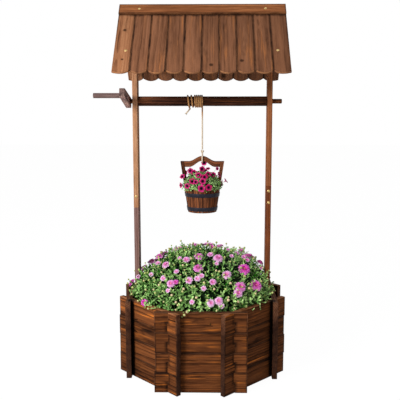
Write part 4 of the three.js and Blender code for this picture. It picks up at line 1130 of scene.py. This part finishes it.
def plantMaterial(name, dark, mid, light, under):
    # Colour by each leaf's own number, with a pale midrib, and darker where shade is 1.
    def fill(tree):
        spot = cloud(tree, objectPlace(tree), (300, 300, 300), 2)
        level = unevenly(tree, attribute(tree, "leafTone"), spot, 0.5)
        colour = ramp(tree, level, (0.0, 0.5, 1.0), (dark, mid, light))
        colour = washed(tree, times(tree, attribute(tree, "rib"), 0.55), colour, light)
        colour = washed(tree, attribute(tree, "shade"), colour, under, "MULTIPLY")
        return surface(tree, colour, 0.45, spot, 0.0006, {"Specular IOR Level": 0.08})

    return newMaterial(name, fill)


def petalMaterial(name, throat, deep, pale, throatReach=0.3):
    # From the throat out to the edge; deep and pale are (middle, edge), mixed by each bloom's own number.
    def fill(tree):
        vein = cloud(tree, objectPlace(tree), (420, 420, 420), 2)
        out = unevenly(tree, attribute(tree, "petal"), vein, 0.25)
        stops = (throatReach * 0.3, throatReach, 0.95)
        first, second = [ramp(tree, out, stops, (throat, *shades)) for shades in (deep, pale)]
        colour = mixed(tree, attribute(tree, "leafTone"), first, second)
        return surface(tree, colour, 0.6, vein, 0.0004, {"Specular IOR Level": 0.15})

    return newMaterial(name, fill)


def soilMaterial():
    def fill(tree):
        lump = cloud(tree, objectPlace(tree), (160, 160, 160), 5, 0.7)
        colour = ramp(tree, lump, (0.3, 0.55, 0.8), ((24, 17, 13), (52, 38, 28), (92, 72, 54)))
        return surface(tree, colour, 0.95, lump, 0.002)

    return newMaterial("pottingCompost", fill)


def leafy(shape, tone, shade=0.0):  # the values that plantMaterial reads, the same all over a shape
    size = len(shape["points"])
    return {**shape, "leafTone": np.full(size, tone), "rib": np.zeros(size), "shade": np.full(size, shade)}


def framesFacing(normal, heading):  # rows are each leaf's own axes: across, along, outward
    outward = unit(normal)
    along = unit(heading - (heading * outward).sum(axis=1, keepdims=True) * outward)
    return np.stack([np.cross(along, outward), along, outward], axis=1)


def scattered(template, origins, frames, sizes, **values):
    # Copies of a template; values with one number per copy are spread over that copy's points.
    count, size = len(origins), len(template["points"])
    points = origins[:, None, :] + sizes[:, None, None] * np.einsum("pk,nkj->npj", template["points"], frames)
    whole = {"points": points.reshape(-1, 3)}
    for key in template:
        if key in ("quads", "triangles"):
            whole[key] = repeatedFaces(template[key], count, size)
        elif key != "points":
            whole[key] = np.tile(template[key], count)
    return {**whole, **{key: np.repeat(numbers, size) for key, numbers in values.items()}}


def leafTemplate(widths, fold, droop, thickness=0.03):
    # Widths along the leaf give its lobes; it folds up beside its midrib and droops toward its tip. The
    # underside shares the border, so the leaf is a closed thin lens.
    rows = len(widths)
    y = np.linspace(0, 1, rows)[:, None]
    x = np.outer(widths, [-1, 0, 1])
    top = np.stack(np.broadcast_arrays(x, y, fold * np.abs(x) - droop * y**2), axis=-1).reshape(-1, 3)
    ids = np.arange(3 * rows).reshape(rows, 3)
    below = ids.copy()
    below[1:-1, 1] = 3 * rows + np.arange(rows - 2)
    under = top[ids[1:-1, 1]] - [0, 0, thickness]
    quads = bothSides(gridQuads(rows, 3, closed=False), below)
    rib = np.zeros(3 * rows + rows - 2)
    rib[ids[:, 1]] = 1
    return {"points": np.concatenate([top, under]), "quads": quads, "triangles": noTriangles, "rib": rib}


lobedLeaf = leafTemplate([0.02, 0.2, 0.13, 0.36, 0.2, 0.27, 0.02], 0.5, 0.22)
slimLeaf = leafTemplate([0.02, 0.12, 0.2, 0.22, 0.17, 0.02], 0.35, 0.3)
roundLeaf = leafTemplate([0.03, 0.2, 0.28, 0.28, 0.17, 0.02], 0.4, 0.25)
stemRows, stemSides = 4, 5


def stemTubes(starts, ends, radius, bow):
    # Thin tubes between two points, bowed by four t (1 - t) times a vector and tapering a little.
    t = np.linspace(0, 1, stemRows)[None, :, None]
    path = starts[:, None, :] * (1 - t) + ends[:, None, :] * t + bow[:, None, :] * (t * (1 - t)) * 4
    side = unit(np.cross(unit(ends - starts), np.array([0.31, 0.45, 0.84])))
    other = np.cross(unit(ends - starts), side)
    ring = spokes(fullTurn(stemSides), side, other)
    width = np.asarray(radius)[:, None] * np.linspace(1, 0.75, stemRows)[None, :]
    rings = path[:, :, None, :] + width[..., None, None] * ring[:, None, :, :]
    count, size = len(starts), stemRows * stemSides
    fan = np.array([(0, k + 1, k) for k in range(1, stemSides - 1)])
    fans = np.concatenate([fan, size - stemSides + fan[:, [0, 2, 1]]])
    quads = repeatedFaces(gridQuads(stemRows, stemSides), count, size)
    return {"points": rings.reshape(-1, 3), "quads": quads, "triangles": repeatedFaces(fans, count, size)}


def budTemplate():  # an egg
    profile = [(0.0, 0.22), (0.12, 0.42), (0.38, 0.5), (0.65, 0.42), (0.85, 0.22), (0.9, 0.06)]
    bud = ringSolid(lathed(profile, 8, upright=True))
    del bud["wear"]
    bud["petal"] = np.concatenate([np.repeat([0, 0.1, 0.35, 0.65, 0.9, 1], 8), [0, 1]])
    return bud


def mumTemplate(whorls, seed):
    # Narrow petals in whorls: each petal is a folded strip that rises from the middle and arches outward.
    # A whorl is its radius, its count of petals, their lift, arch and half width.
    rng = np.random.default_rng(seed)
    y = np.linspace(0, 1, 4)
    width = np.array([0.35, 0.8, 1.0, 0.45])
    parts = []
    for radius, count, lift, arch, broad in whorls:
        turn = (np.arange(count) + rng.uniform(0, 1)) / count * 2 * math.pi + rng.normal(0, 0.06, count)
        reach = radius * (1 + rng.normal(0, 0.06, count))
        out = (0.12 + (reach[:, None] - 0.12) * y)[..., None]
        rise = (lift * y - arch * y**2 + rng.normal(0, 0.02, (count, 1)) * y)[..., None]
        cosine, sine = np.cos(turn)[:, None, None], np.sin(turn)[:, None, None]
        across = np.outer(width, [-1, 0, 1])[None] * broad
        x, z = out * cosine - across * sine, rise + 0.35 * np.abs(across)
        top = np.stack([x, out * sine + across * cosine, z], axis=-1)
        under = top[:, 1:3, 1] - [0, 0, 0.03]
        points = np.concatenate([top.reshape(count, 12, 3), under], axis=1)
        below = np.arange(12).reshape(4, 3)
        below[1:3, 1] = [12, 13]
        quads = bothSides(gridQuads(4, 3, closed=False)[:, ::-1], below)
        petal = np.concatenate([np.repeat(0.25 + 0.75 * y * radius, 3), [0.3, 0.6]])
        parts.append({"points": points.reshape(-1, 3), "quads": repeatedFaces(quads, count, 14),
                      "triangles": noTriangles, "petal": np.tile(petal, count)})
    heart = budTemplate()
    heart = {**heart, "points": heart["points"] * [0.36, 0.36, 0.26], "petal": heart["petal"] * 0.2}
    return joined(parts + [heart])


openMum = mumTemplate([(1.0, 22, 0.2, 0.34, 0.14), (0.86, 20, 0.34, 0.3, 0.13), (0.68, 16, 0.46, 0.24, 0.12),
                       (0.48, 12, 0.5, 0.12, 0.1), (0.3, 8, 0.46, 0.0, 0.08)], 5)
youngMum = mumTemplate([(1.0, 18, 0.5, 0.3, 0.16), (0.8, 14, 0.66, 0.26, 0.14), (0.5, 10, 0.7, 0.1, 0.12)], 6)

moundPlan = {
    "rim": 0.240, "middleX": -0.003, "halfWidth": 0.225, "height": 0.138,
    "fullness": (1.8, 2.25), "fullnessAcross": (-0.4, 0.4),  # at the left and the right
    "crest": (-0.052, 0.013, 0.05),  # a lobe: how far across, its rise and its width
    "coreShare": 0.88, "coreTone": 0.05, "coreShade": 0.85, "throat": 0.18879, "plug": (0.201, 0.236),
    "lump": 0.035, "ripple": 0.02, "hollowWaves": 6, "hollowDepth": 0.04, "hollowTone": 0.3,
    "toneLean": 0.2, "sprigs": 820, "sprigLevel": (0.92, 1.05), "sprigLeaves": 10, "sprigLength": 0.034,
    "leafSize": (0.009, 0.018),
    "goldenAngle": 2.4, "spread": (22, 62, 12),  # degrees off the shoot at its tip, more at its foot, scatter
    "stems": 320, "stemRadius": (0.0006, 0.001), "stemLength": 0.034, "budStem": (0.002, 0.013),
    "buds": 330, "budSize": (0.0042, 0.0075), "budScale": 0.0021, "lift": 0.3,
    "bloomScale": 0.97, "bloomSize": (0.0085, 0.0165), "openFrom": 0.0125, "bloomLift": 0.35,
    "unseenBlooms": 110, "unseenFrom": math.radians(86), "unseenLevel": 1.02,
    "turned": ((246, 272), (0.5, 0.9)),  # how far the shown blooms face the camera, by picture row
    "postX": 0.206, "postHalf": (0.012, 0.030), "seed": 61,
    # picture columns and rows of the blooms that the camera sees, their width and how pale each is
    "seen": [
        (244.5, 269, 13, 0.05), (240.6, 286.9, 12, 0.3), (256.2, 285.2, 13, 0.2), (238.3, 293, 10, 0.7),
        (211, 303, 9, 0.95), (218.8, 300.8, 9, 0.75), (221.6, 306, 6, 0.9), (226.6, 274.6, 10, 0.75),
        (198.7, 256.2, 10, 0.45), (218.2, 257.9, 11, 0.7), (198.1, 267.9, 11, 0.3), (212.7, 282.4, 7.5, 0.6),
        (197.5, 279, 7, 0.9), (201.5, 276, 6, 0.8), (189.2, 280.8, 8, 0.75), (170.8, 283.5, 9, 0.6),
        (175.8, 282.4, 6, 0.1), (165.8, 264.6, 9, 0.7), (151.8, 261.2, 9, 0.4), (186.4, 260.1, 8, 0.7),
        (179.7, 258.4, 5, 0.9), (176.4, 271.8, 6, 0.85), (163.5, 278.5, 6.5, 0.85), (216.6, 264, 5, 0.95),
        (144.6, 302.5, 7.5, 0.0), (212.1, 247.3, 6, 0.1), (218.8, 246.6, 6, 0.7), (179.7, 247, 7, 0.6),
        (195.9, 245.4, 5, 0.8), (203.7, 288.6, 6, 0.95), (192, 302, 5.5, 0.85), (168, 290.8, 5, 0.9),
        (158, 263.5, 6, 0.85), (151.3, 274.6, 5, 0.9), (243.9, 257.3, 6, 0.7), (236.7, 253.4, 6, 0.85),
        (210.4, 255.1, 7, 0.75), (247.3, 260.1, 5, 0.5), (231.6, 256.2, 5, 0.85), (228, 250, 5, 0.8),
        (261, 268, 5, 0.85), (138.4, 276.9, 5, 0.8)],
    "budsSeen": [
        (196.5, 298, 4), (187.5, 312, 4.5), (227.7, 300.3, 4.5), (237.2, 302, 4), (181.4, 300.8, 4),
        (172.5, 295.8, 4), (176.4, 302.5, 4), (160.2, 285.8, 4), (230, 284, 4), (243.9, 277.4, 4),
        (248, 289, 4),
        (191.5, 260.1, 4), (184, 289.5, 4), (214, 289.7, 3.5), (204, 283.5, 3.5), (216, 271.5, 3.5),
        (183.4, 266.5, 3.5)],
}
foliage = plantMaterial("mumLeaf", (4, 54, 1), (44, 138, 22), (210, 248, 160), (10, 28, 8))
budSkin = petalMaterial("budSkin", (104, 136, 56), ((168, 190, 92), (206, 212, 134)),
                        ((196, 196, 120), (238, 206, 178)))
mumPetals = petalMaterial("mumPetal", (232, 196, 120), ((224, 48, 178), (250, 118, 228)),
                          ((255, 162, 232), (255, 240, 254)))


def pixelRays(pixels):  # where each picture point looks, from the camera
    plan = cameraPlan
    turn, dip = math.radians(plan["azimuth"]), math.radians(plan["pitch"])
    right = np.array([math.cos(turn), math.sin(turn), 0])
    level = np.array([-math.sin(turn), math.cos(turn), 0])
    forward = level * math.cos(dip) - np.array([0, 0, math.sin(dip)])
    upward = level * math.sin(dip) + np.array([0, 0, math.cos(dip)])
    across, down = ((pixels[:, :2] - plan["middlePixel"]) / plan["focalPixels"]).T[..., None]
    eye = -plan["distance"] * level + np.array([0, 0, plan["height"]])
    return eye, unit(forward + across * right - down * upward)


def onDome(pixels, centre, halves):
    # The first point of an ellipsoid along each ray, or the nearest one where the ray passes outside.
    eye, rays = pixelRays(pixels)
    start, step = (eye - centre) / halves, rays / halves
    a, b, c = (step**2).sum(axis=1), (start * step).sum(axis=1), (start**2).sum(axis=-1) - 1
    reach = (-b - np.sqrt(np.maximum(b * b - a * c, 0))) / a
    local = unit(start + reach[:, None] * step)
    return local, centre + local * halves


def heaped(way, plan):
    # How far the mound reaches each way: (level share^p + height share^p)^(-1/p). A p under 2 is less full
    # than an ellipsoid, over 2 fuller.
    level = np.hypot(way[..., 0], way[..., 1])
    power = np.interp(way[..., 0], plan["fullnessAcross"], plan["fullness"])
    return (level**power + np.abs(way[..., 2]) ** power) ** (-1 / power)


def onHeap(pixels, centre, halves, plan):  # the mound's point behind each picture point, found in four steps
    share = np.ones(len(pixels))
    for attempt in range(4):
        way, spot = onDome(pixels, centre, halves * share[:, None])
        share = heaped(way, plan)
    return way, spot


def domePoints(count, rng, lowest=-0.06, ease=1.0):  # even directions over the dome, none under it
    turn = rng.uniform(0, 2 * math.pi, count)
    rise = lowest + (1 - lowest) * rng.uniform(0, 1, count) ** ease
    return polar(np.sqrt(np.clip(1 - rise**2, 0, 1)), turn, rise)


def spiralPoints(count, rng, lowest=-0.05):  # evenly spaced directions, a little disturbed
    k = np.arange(count) + 0.5
    rise = lowest + (1 - lowest) * k / count + rng.normal(0, 0.25 / math.sqrt(count), count)
    rise = np.clip(rise, lowest, 1)
    turn = k * math.pi * (3 - math.sqrt(5)) + rng.normal(0, 0.6 / math.sqrt(count), count)
    return polar(np.sqrt(1 - rise**2), turn, rise)


def clearOfPosts(points, plan):  # false for anything that would grow into a post
    wide, deep = plan["postHalf"]
    return (np.abs(np.abs(points[..., 0]) - plan["postX"]) >= wide) | (np.abs(points[..., 1]) >= deep)


def addCore(plan, centre, halves):  # dark heart of the plant: a lumpy dome on a plug in the planter's throat
    around = fullTurn(96)
    rise = np.linspace(0, math.pi / 2 * 0.985, 26)[:, None]
    lump = 1 + plan["lump"] * np.sin(9 * around + 7 * rise) * np.cos(6 * around - 11 * rise)
    lump = lump + plan["ripple"] * np.sin(23 * around) * np.sin(19 * rise)
    way = polar(np.cos(rise), around, np.sin(rise))
    dome = centre + way * halves * (plan["coreShare"] * lump * heaped(way, plan))[..., None]
    plug = polar(plan["throat"], around, np.array(plan["plug"])[:, None])
    # painted shade: the heart is a dark stand-in for the shaded inside of the plant, seen through the gaps
    # between leaves
    heart = leafy(ringSolid(np.concatenate([plug, dome])), plan["coreTone"], plan["coreShade"])
    newPiece("mound_heart", heart, foliage, "root", "planter_flowers")


def addSprigs(plan, centre, halves, rng):
    # Leaves set round each shoot by the golden angle, longer and more spread toward its foot. Hollows between
    # the clumps lie where a sum of waves over the dome is high; their leaves are darker, as painted shade.
    way = spiralPoints(plan["sprigs"], rng)
    shoot = unit(way / halves * plan["halfWidth"] * 0.8 + [0, 0, 0.35] + rng.normal(0, 0.24, way.shape))
    waves = rng.normal(0, plan["hollowWaves"], (6, 3))
    sunk = np.clip(0.5 + 0.4 * np.sin(way @ waves.T + rng.uniform(0, 2 * math.pi, 6)).sum(axis=1), 0, 1)
    level = heaped(way, plan) * (rng.uniform(*plan["sprigLevel"], len(way)) - plan["hollowDepth"] * sunk)
    top = centre + way * halves * level[:, None]
    crestX, crestRise, crestWidth = plan["crest"]
    fromCrest = (top[:, 0] - crestX) ** 2 + top[:, 1] ** 2
    top[:, 2] += crestRise * np.exp(-fromCrest / (2 * crestWidth**2)) * way[:, 2]

    steps = plan["sprigLeaves"]
    down = (np.arange(steps) + 0.3) / steps
    side = unit(np.cross(shoot, rng.normal(0, 1, shoot.shape)))
    other = np.cross(shoot, side)
    angle = np.arange(steps)[None, :] * plan["goldenAngle"] + rng.uniform(0, 6.28, (len(way), 1))
    least, more, scatter = plan["spread"]
    spread = np.radians(least + more * down[None, :] + rng.normal(0, scatter, angle.shape))[..., None]
    outward = spokes(angle, side, other)
    heading = np.cos(spread) * shoot[:, None] + np.sin(spread) * outward
    normal = shoot[:, None] * np.sin(spread) - outward * np.cos(spread) + rng.normal(0, 0.25, heading.shape)
    spot = top[:, None] - shoot[:, None] * (down * plan["sprigLength"])[None, :, None]
    small, large = plan["leafSize"]
    size = small + (large - small) * down[None, :] * rng.uniform(0.6, 1.2, angle.shape)
    tone = 0.85 - 0.55 * down[None, :] + rng.normal(0, 0.14, angle.shape) + rng.normal(0, 0.12, (len(way), 1))
    # painted shade: leaves in the hollows darker
    tone = np.clip(tone - plan["hollowTone"] * sunk[:, None] + plan["toneLean"] * way[:, :1], 0, 1)
    shade = np.clip(1.5 * down[None, :] - 0.45, 0, 1) + 0 * angle
    keep = clearOfPosts(spot, plan)
    for phase, (part, template) in enumerate((("lobed", lobedLeaf), ("slim", slimLeaf))):
        chosen = keep & (np.arange(steps) % 2 == phase)
        facing = framesFacing(normal[chosen], heading[chosen])
        values = {"leafTone": tone[chosen], "shade": shade[chosen]}
        leaves = scattered(template, spot[chosen], facing, size[chosen], **values)
        newPiece(f"mound_{part}_leaves", leaves, foliage, "root", "planter_flowers")
    return way, shoot, top


def addBuds(plan, centre, halves, rng, way, shoot, top):
    # Buds on thin stems out of the sprigs, those that the picture shows, and stems without a bud.
    shown = np.array(plan["budsSeen"])
    seen, seenSpot = onHeap(shown[:, :2], centre, halves, plan)
    picked = rng.permutation(len(way))[:plan["buds"]]
    budShoot = np.concatenate([unit(seen + [0, 0, plan["lift"]]), shoot[picked]])
    length = rng.uniform(*plan["budStem"], (len(budShoot), 1))
    length[:len(seen)] *= 0.2
    tip = np.concatenate([seenSpot, top[picked]]) + budShoot * length
    keep = clearOfPosts(tip, plan)
    budShoot, tip = budShoot[keep], tip[keep]
    radius = rng.uniform(0.0007, 0.001, len(tip))
    stems = stemTubes(tip - budShoot * plan["stemLength"], tip, radius, rng.normal(0, 0.0015, tip.shape))
    extraWay = domePoints(plan["stems"], rng, 0.0, 0.9)
    level = heaped(extraWay, plan) * rng.uniform(0.93, 1.0, len(extraWay))
    extraTip = centre + extraWay * halves * level[:, None]
    extraTip = extraTip[clearOfPosts(extraTip, plan)]
    extraRoot = centre + (extraTip - centre) * 0.84 + rng.normal(0, 0.012, extraTip.shape)
    radius = rng.uniform(*plan["stemRadius"], len(extraTip))
    stems = joined([stems, stemTubes(extraRoot, extraTip, radius, rng.normal(0, 0.003, extraTip.shape))])
    stems = leafy(stems, 0.0)
    perStem = stemRows * stemSides
    stems["leafTone"] = np.repeat(rng.uniform(0.7, 1, len(stems["points"]) // perStem), perStem)
    newPiece("mound_stems", stems, foliage, "root", "planter_flowers")

    width = np.concatenate([shown[:, 2] * plan["budScale"], rng.uniform(*plan["budSize"], plan["buds"])])
    facing = framesFacing(budShoot, rng.normal(0, 1, budShoot.shape))
    pinkness = np.concatenate([np.full(len(seen), 0.9), rng.beta(1.2, 2.2, plan["buds"])])[keep]
    buds = scattered(budTemplate(), tip, facing, width[keep], leafTone=pinkness)
    newPiece("mound_buds", buds, budSkin, "root", "planter_flowers")


def addBlooms(plan, centre, halves, rng):
    # Those in the picture by their place in it, the others spread round the sides and the back.
    pixels = np.array(plan["seen"])
    way, spot = onHeap(pixels, centre, halves, plan)
    eye = pixelRays(pixels[:1])[0]
    toCamera = unit(eye - spot) * np.interp(pixels[:, 1], *plan["turned"])[:, None]
    away = np.linalg.norm(spot - eye, axis=1)
    size = plan["bloomScale"] * pixels[:, 2] / cameraPlan["focalPixels"] * away / 2
    other = domePoints(plan["unseenBlooms"], rng, 0.06)
    other = other[np.abs(np.arctan2(other[:, 0], -other[:, 1])) > plan["unseenFrom"]]
    otherSpot = centre + other * halves * (heaped(other, plan) * plan["unseenLevel"])[:, None]
    way, spot = np.concatenate([way, other]), np.concatenate([spot, otherSpot])
    toCamera = np.concatenate([toCamera, 0 * other])
    size = np.concatenate([size, rng.uniform(*plan["bloomSize"], len(other))])
    tone = np.concatenate([pixels[:, 3], rng.uniform(0, 1, len(other))])
    keep = clearOfPosts(spot, plan)
    way, spot, size, tone, toCamera = way[keep], spot[keep], size[keep], tone[keep], toCamera[keep]
    aim = unit(unit(way / halves) + [0, 0, plan["bloomLift"]] + toCamera + rng.normal(0, 0.16, way.shape))
    facing = framesFacing(aim, rng.normal(0, 1, way.shape))
    large = size > plan["openFrom"]
    for name, template, chosen in (("open", openMum, large), ("young", youngMum, ~large)):
        blooms = scattered(template, spot[chosen], facing[chosen], size[chosen], leafTone=tone[chosen])
        newPiece(f"mound_{name}_blooms", blooms, mumPetals, "root", "planter_flowers")


def addMound(plan):
    rng = np.random.default_rng(plan["seed"])
    centre = np.array([plan["middleX"], 0, plan["rim"]])
    halves = np.array([plan["halfWidth"], plan["halfWidth"], plan["height"]])
    addCore(plan, centre, halves)
    way, shoot, top = addSprigs(plan, centre, halves, rng)
    addBuds(plan, centre, halves, rng, way, shoot, top)
    addBlooms(plan, centre, halves, rng)


addMound(moundPlan)

soilPlan = {"apothem": 0.2135, "bottom": 0.029, "top": (0.203, 0.205), "lump": 0.003, "rings": 16, "seed": 71}


def addSoil(plan):
    # An eight-sided bed with a lumpy top; radius at each direction is apothem over cosine.
    rng = np.random.default_rng(plan["seed"])
    turn, rings = fullTurn(96), plan["rings"]
    side = (turn + math.pi / 8) % (math.pi / 4) - math.pi / 8
    share = np.concatenate([[1, 1], np.linspace(1, 0.04, rings)])[:, None]
    level = np.concatenate([[plan["bottom"], plan["top"][0]], np.full(rings, plan["top"][1])])[:, None]
    lumps = rng.uniform(-plan["lump"], 0.0, (rings + 2, 96)) * (np.arange(rings + 2) > 2)[:, None]
    bed = polar(share * (plan["apothem"] / np.cos(side)), turn, level + lumps)
    bed = ringSolid(np.delete(bed, 2, axis=0))
    newPiece("compost_bed", bed, soilMaterial(), "root", "planter_soil", sharp=70)


addSoil(soilPlan)
print("planter planted")


# Bucket flowers: petunias, their leaves and a few trailing stems
posyPlan = {
    "halfX": 0.062, "halfY": 0.060, "height": 0.048,
    "coreRadius": 0.0512048193, "coreTone": 0.05, "coreShade": 0.8, "throat": 0.0325,
    "plug": (-0.064, -0.004), "leaves": 3000, "leafSize": (0.0035, 0.0085), "leafLevel": (0.72, 1.0),
    "boxiness": [0.8, 0.8, 1], "spill": 0.006, "earX": 0.040, "earY": 0.015, "stemRadius": (0.0006, 0.0009),
    "seed": 83,
    # picture columns and rows of the blooms, and their width
    "seen": [
        (204.1, 162.9, 5.4), (202.2, 169.1, 5.6), (190.3, 170.7, 5.4), (194, 172.6, 5.6), (198.5, 175.2, 5.6),
        (204.6, 177.2, 5.4), (208.3, 174.2, 5), (213.2, 174.7, 5), (192.3, 181.3, 5.8), (187.2, 186, 5.2),
        (202.7, 181.3, 6), (201.4, 188.5, 6.6), (208.8, 187.5, 6), (185.2, 172.5, 4.6), (195.8, 182, 4.4)],
    "spilled": [(219.1, 174.5, 5.2), (182.3, 176.4, 5), (180.8, 185.3, 5), (226, 180.6, 5),
                (217.2, 168.6, 3.4), (208, 168.6, 4)],
    "behind": 14, "behindWidth": (5, 6.4), "bloomScale": 1.14, "bloomDepth": 0.008, "spilledFront": 0.024,
    "facing": (2.4, 0.5, 0),  # how far the seen, the spilled and the hidden blooms face the camera
}
posyLeaf = plantMaterial("petuniaLeaf", (44, 80, 24), (104, 158, 62), (200, 230, 164), (20, 36, 14))
petuniaPetals = petalMaterial("petuniaPetal", (22, 6, 24), ((150, 0, 72), (200, 4, 100)),
                              ((204, 8, 116), (228, 104, 184)), 0.4)


def petuniaTemplate(columns=30):
    # Five joined lobes round a trumpet: the face runs from the throat to the rim, then back down the tube.
    # The rim is notched by a high power of the cosine between the lobes, where the dark throat reaches out.
    share = np.array([0.03, 0.14, 0.3, 0.6, 0.9, 1.0, 0.93, 0.55, 0.2, 0.1, 0.09, 0.03])[::-1, None]
    height = np.array([-0.5, -0.3, -0.05, 0.06, 0.1, 0.05, 0.02, -0.03, -0.28, -0.6, -0.95, -1.0])[::-1, None]
    petal = np.array([0, 0, 0.1, 0.55, 0.9, 1, 1, 0.9, 0.6, 0.45, 0.4, 0.4])[::-1, None]
    turn = fullTurn(columns)
    notch = np.abs(np.cos(2.5 * turn)) ** 5
    lobe = 1 - 0.2 * notch * np.clip((share - 0.3) / 0.6, 0, 1)
    wave = 0.06 * np.sin(10 * turn) * np.clip((share - 0.5) / 0.4, 0, 1) - 0.08 * notch * share
    flower = ringSolid(polar(share * lobe, turn, height + wave))
    del flower["wear"]
    reach = petal - 0.16 * notch * (petal < 0.95)
    return {**flower, "petal": np.concatenate([reach.ravel(), [0.4, 0]])}


def addPosy(plan):
    rng = np.random.default_rng(plan["seed"])
    rim = bucketFoot + [0, 0, bucketPlan["rim"]]
    halves = np.array([plan["halfX"], plan["halfY"], plan["height"]])
    turn = fullTurn(48)
    rise = np.linspace(0, math.pi / 2 * 0.97, 12)[:, None]
    lump = 0.78 + 0.05 * np.sin(5 * turn + 6 * rise)
    dome = polar(lump * plan["coreRadius"] * np.cos(rise), turn, lump * plan["height"] * np.sin(rise))
    plug = polar(plan["throat"], turn, np.array(plan["plug"])[:, None])
    # painted shade: a dark heart under the leaves, seen through their gaps
    heart = leafy(ringSolid(np.concatenate([plug, dome]) + rim), plan["coreTone"], plan["coreShade"])
    newPiece("posy_heart", heart, posyLeaf, "bucket", "bucket_flowers")

    way = domePoints(plan["leaves"], rng, -0.05, 1.1)
    share = rng.uniform(*plan["leafLevel"], len(way))
    spot = rim + np.sign(way) * np.abs(way) ** plan["boxiness"] * halves * share[:, None]
    spill = (way[:, 2] < 0.2) & (np.abs(way[:, 1]) > 0.5)
    spot[:, 2] -= np.where(spill, rng.uniform(0, plan["spill"], len(way)), 0)
    clear = (np.abs(spot[:, 0]) < plan["earX"]) | (np.abs(spot[:, 1] - rim[1]) > plan["earY"])
    way, share, spot = way[clear], share[clear], spot[clear]
    normal = unit(way + rng.normal(0, 0.5, way.shape) + [0, 0, 0.35])
    facing = framesFacing(normal, unit(way + rng.normal(0, 0.8, way.shape)))
    leaves = scattered(roundLeaf, spot, facing, rng.uniform(*plan["leafSize"], len(way)),
                       leafTone=rng.beta(1.3, 1.5, len(way)), shade=np.clip(3.4 - 4 * share, 0, 1))
    newPiece("posy_leaves", leaves, posyLeaf, "bucket", "bucket_flowers")

    pixels, spilled = np.array(plan["seen"]), np.array(plan["spilled"])
    spot = onDome(pixels, rim, halves)[1]
    eye, rays = pixelRays(pixels)
    away = np.linalg.norm(spot - eye, axis=1)[:, None]
    # back onto the picture point where the ray missed the dome
    spot = eye + rays * (away - plan["bloomDepth"])
    rays = pixelRays(spilled)[1]
    outSpot = eye + rays * ((rim[1] - plan["spilledFront"] - eye[1]) / rays[:, 1])[:, None]
    behind = domePoints(plan["behind"], rng, 0.0)
    behind[:, 1] = np.abs(behind[:, 1]) + 0.15
    spots = np.concatenate([spot, outSpot, rim + unit(behind) * halves * 1.04])
    sizes = np.concatenate([pixels[:, 2], spilled[:, 2], rng.uniform(*plan["behindWidth"], len(behind))])
    sizes = plan["bloomScale"] * sizes / cameraPlan["focalPixels"] * cameraPlan["distance"] / 2
    outward = unit((spots - rim) * [1, 0.8, 1])
    mixing = np.repeat(plan["facing"], [len(spot), len(outSpot), len(behind)])[:, None]
    aim = unit(outward + unit(eye - spots) * mixing + rng.normal(0, 0.34, spots.shape))
    facing = framesFacing(aim, rng.normal(0, 1, spots.shape))
    blooms = scattered(petuniaTemplate(), spots, facing, sizes, leafTone=rng.uniform(0, 0.35, len(spots)))
    newPiece("posy_blooms", blooms, petuniaPetals, "bucket", "bucket_flowers")

    root = rim + (spots - rim) * [0.45, 0.45, 0.3]
    radius = rng.uniform(*plan["stemRadius"], len(spots))
    tubes = stemTubes(root, spots - aim * (sizes * 0.8)[:, None], radius, np.array([[0, 0, 0.003]]))
    newPiece("posy_stems", leafy(tubes, 0.7), posyLeaf, "bucket", "bucket_flowers")


addPosy(posyPlan)
print("bucket planted")


# Studio: white floor and surround, a large lamp from the left and front, a weak one from the right
studioPlan = {
    "floorSide": 30.0, "floorLevel": -0.0005, "floorPaint": 0.85, "cameraShare": 0.95, "floorGlow": 1.03,
    "surround": 0.29,
    "lamps": [("key", (-2.7, -3.1, 2.3), 1.5, 180.0), ("fill", (2.8, -2.2, 1.6), 2.0, 3.0)],
    "aim": (0, 0, 0.55),
}


def seenDirectly(tree):  # 1 for what the camera, a reflection or a clear pane sees
    path = addNode(tree, "LightPath")
    seen = maths(tree, "MAXIMUM", path.outputs["Is Camera Ray"], path.outputs["Is Glossy Ray"])
    return maths(tree, "MAXIMUM", seen, path.outputs["Is Transmission Ray"])


def addStudio(plan):
    def fill(tree):
        diffuse = addNode(tree, "BsdfDiffuse", {"Color": (*[plan["floorPaint"]] * 3, 1)}).outputs[0]
        white = addNode(tree, "Emission", {"Color": (1, 1, 1, 1), "Strength": plan["floorGlow"]}).outputs[0]
        share = times(tree, seenDirectly(tree), plan["cameraShare"])
        return addNode(tree, "MixShader", {0: share, 1: diffuse, 2: white}).outputs[0]

    half, level = plan["floorSide"] / 2, plan["floorLevel"]
    mesh = bpy.data.meshes.new("floor")
    mesh.from_pydata([(x, y, level) for x, y in rectangle(-half, half, -half, half)], [], [(0, 1, 2, 3)])
    mesh.materials.append(newMaterial("studioFloor", fill))
    floor = bpy.data.objects.new("floor", mesh)
    scene.collection.objects.link(floor)

    world = bpy.data.worlds.new("surround")
    world.use_nodes = True
    tree = world.node_tree
    tree.nodes.clear()
    strength = ranged(tree, seenDirectly(tree), 0, 1, plan["surround"], 1)
    background = addNode(tree, "Background", {"Color": (1, 1, 1, 1), "Strength": strength}).outputs[0]
    tree.links.new(background, tree.nodes.new("ShaderNodeOutputWorld").inputs["Surface"])
    scene.world = world

    for name, spot, size, power in plan["lamps"]:
        lamp = bpy.data.lights.new(name, "AREA")
        lamp.size, lamp.energy = size, power
        holder = bpy.data.objects.new(name, lamp)
        scene.collection.objects.link(holder)
        holder.location = spot
        x, y, z = np.array(spot) - np.array(plan["aim"])
        holder.rotation_euler = (math.atan2(math.hypot(x, y), z), 0, math.atan2(y, x) + math.pi / 2)


addStudio(studioPlan)
print("studio lit")
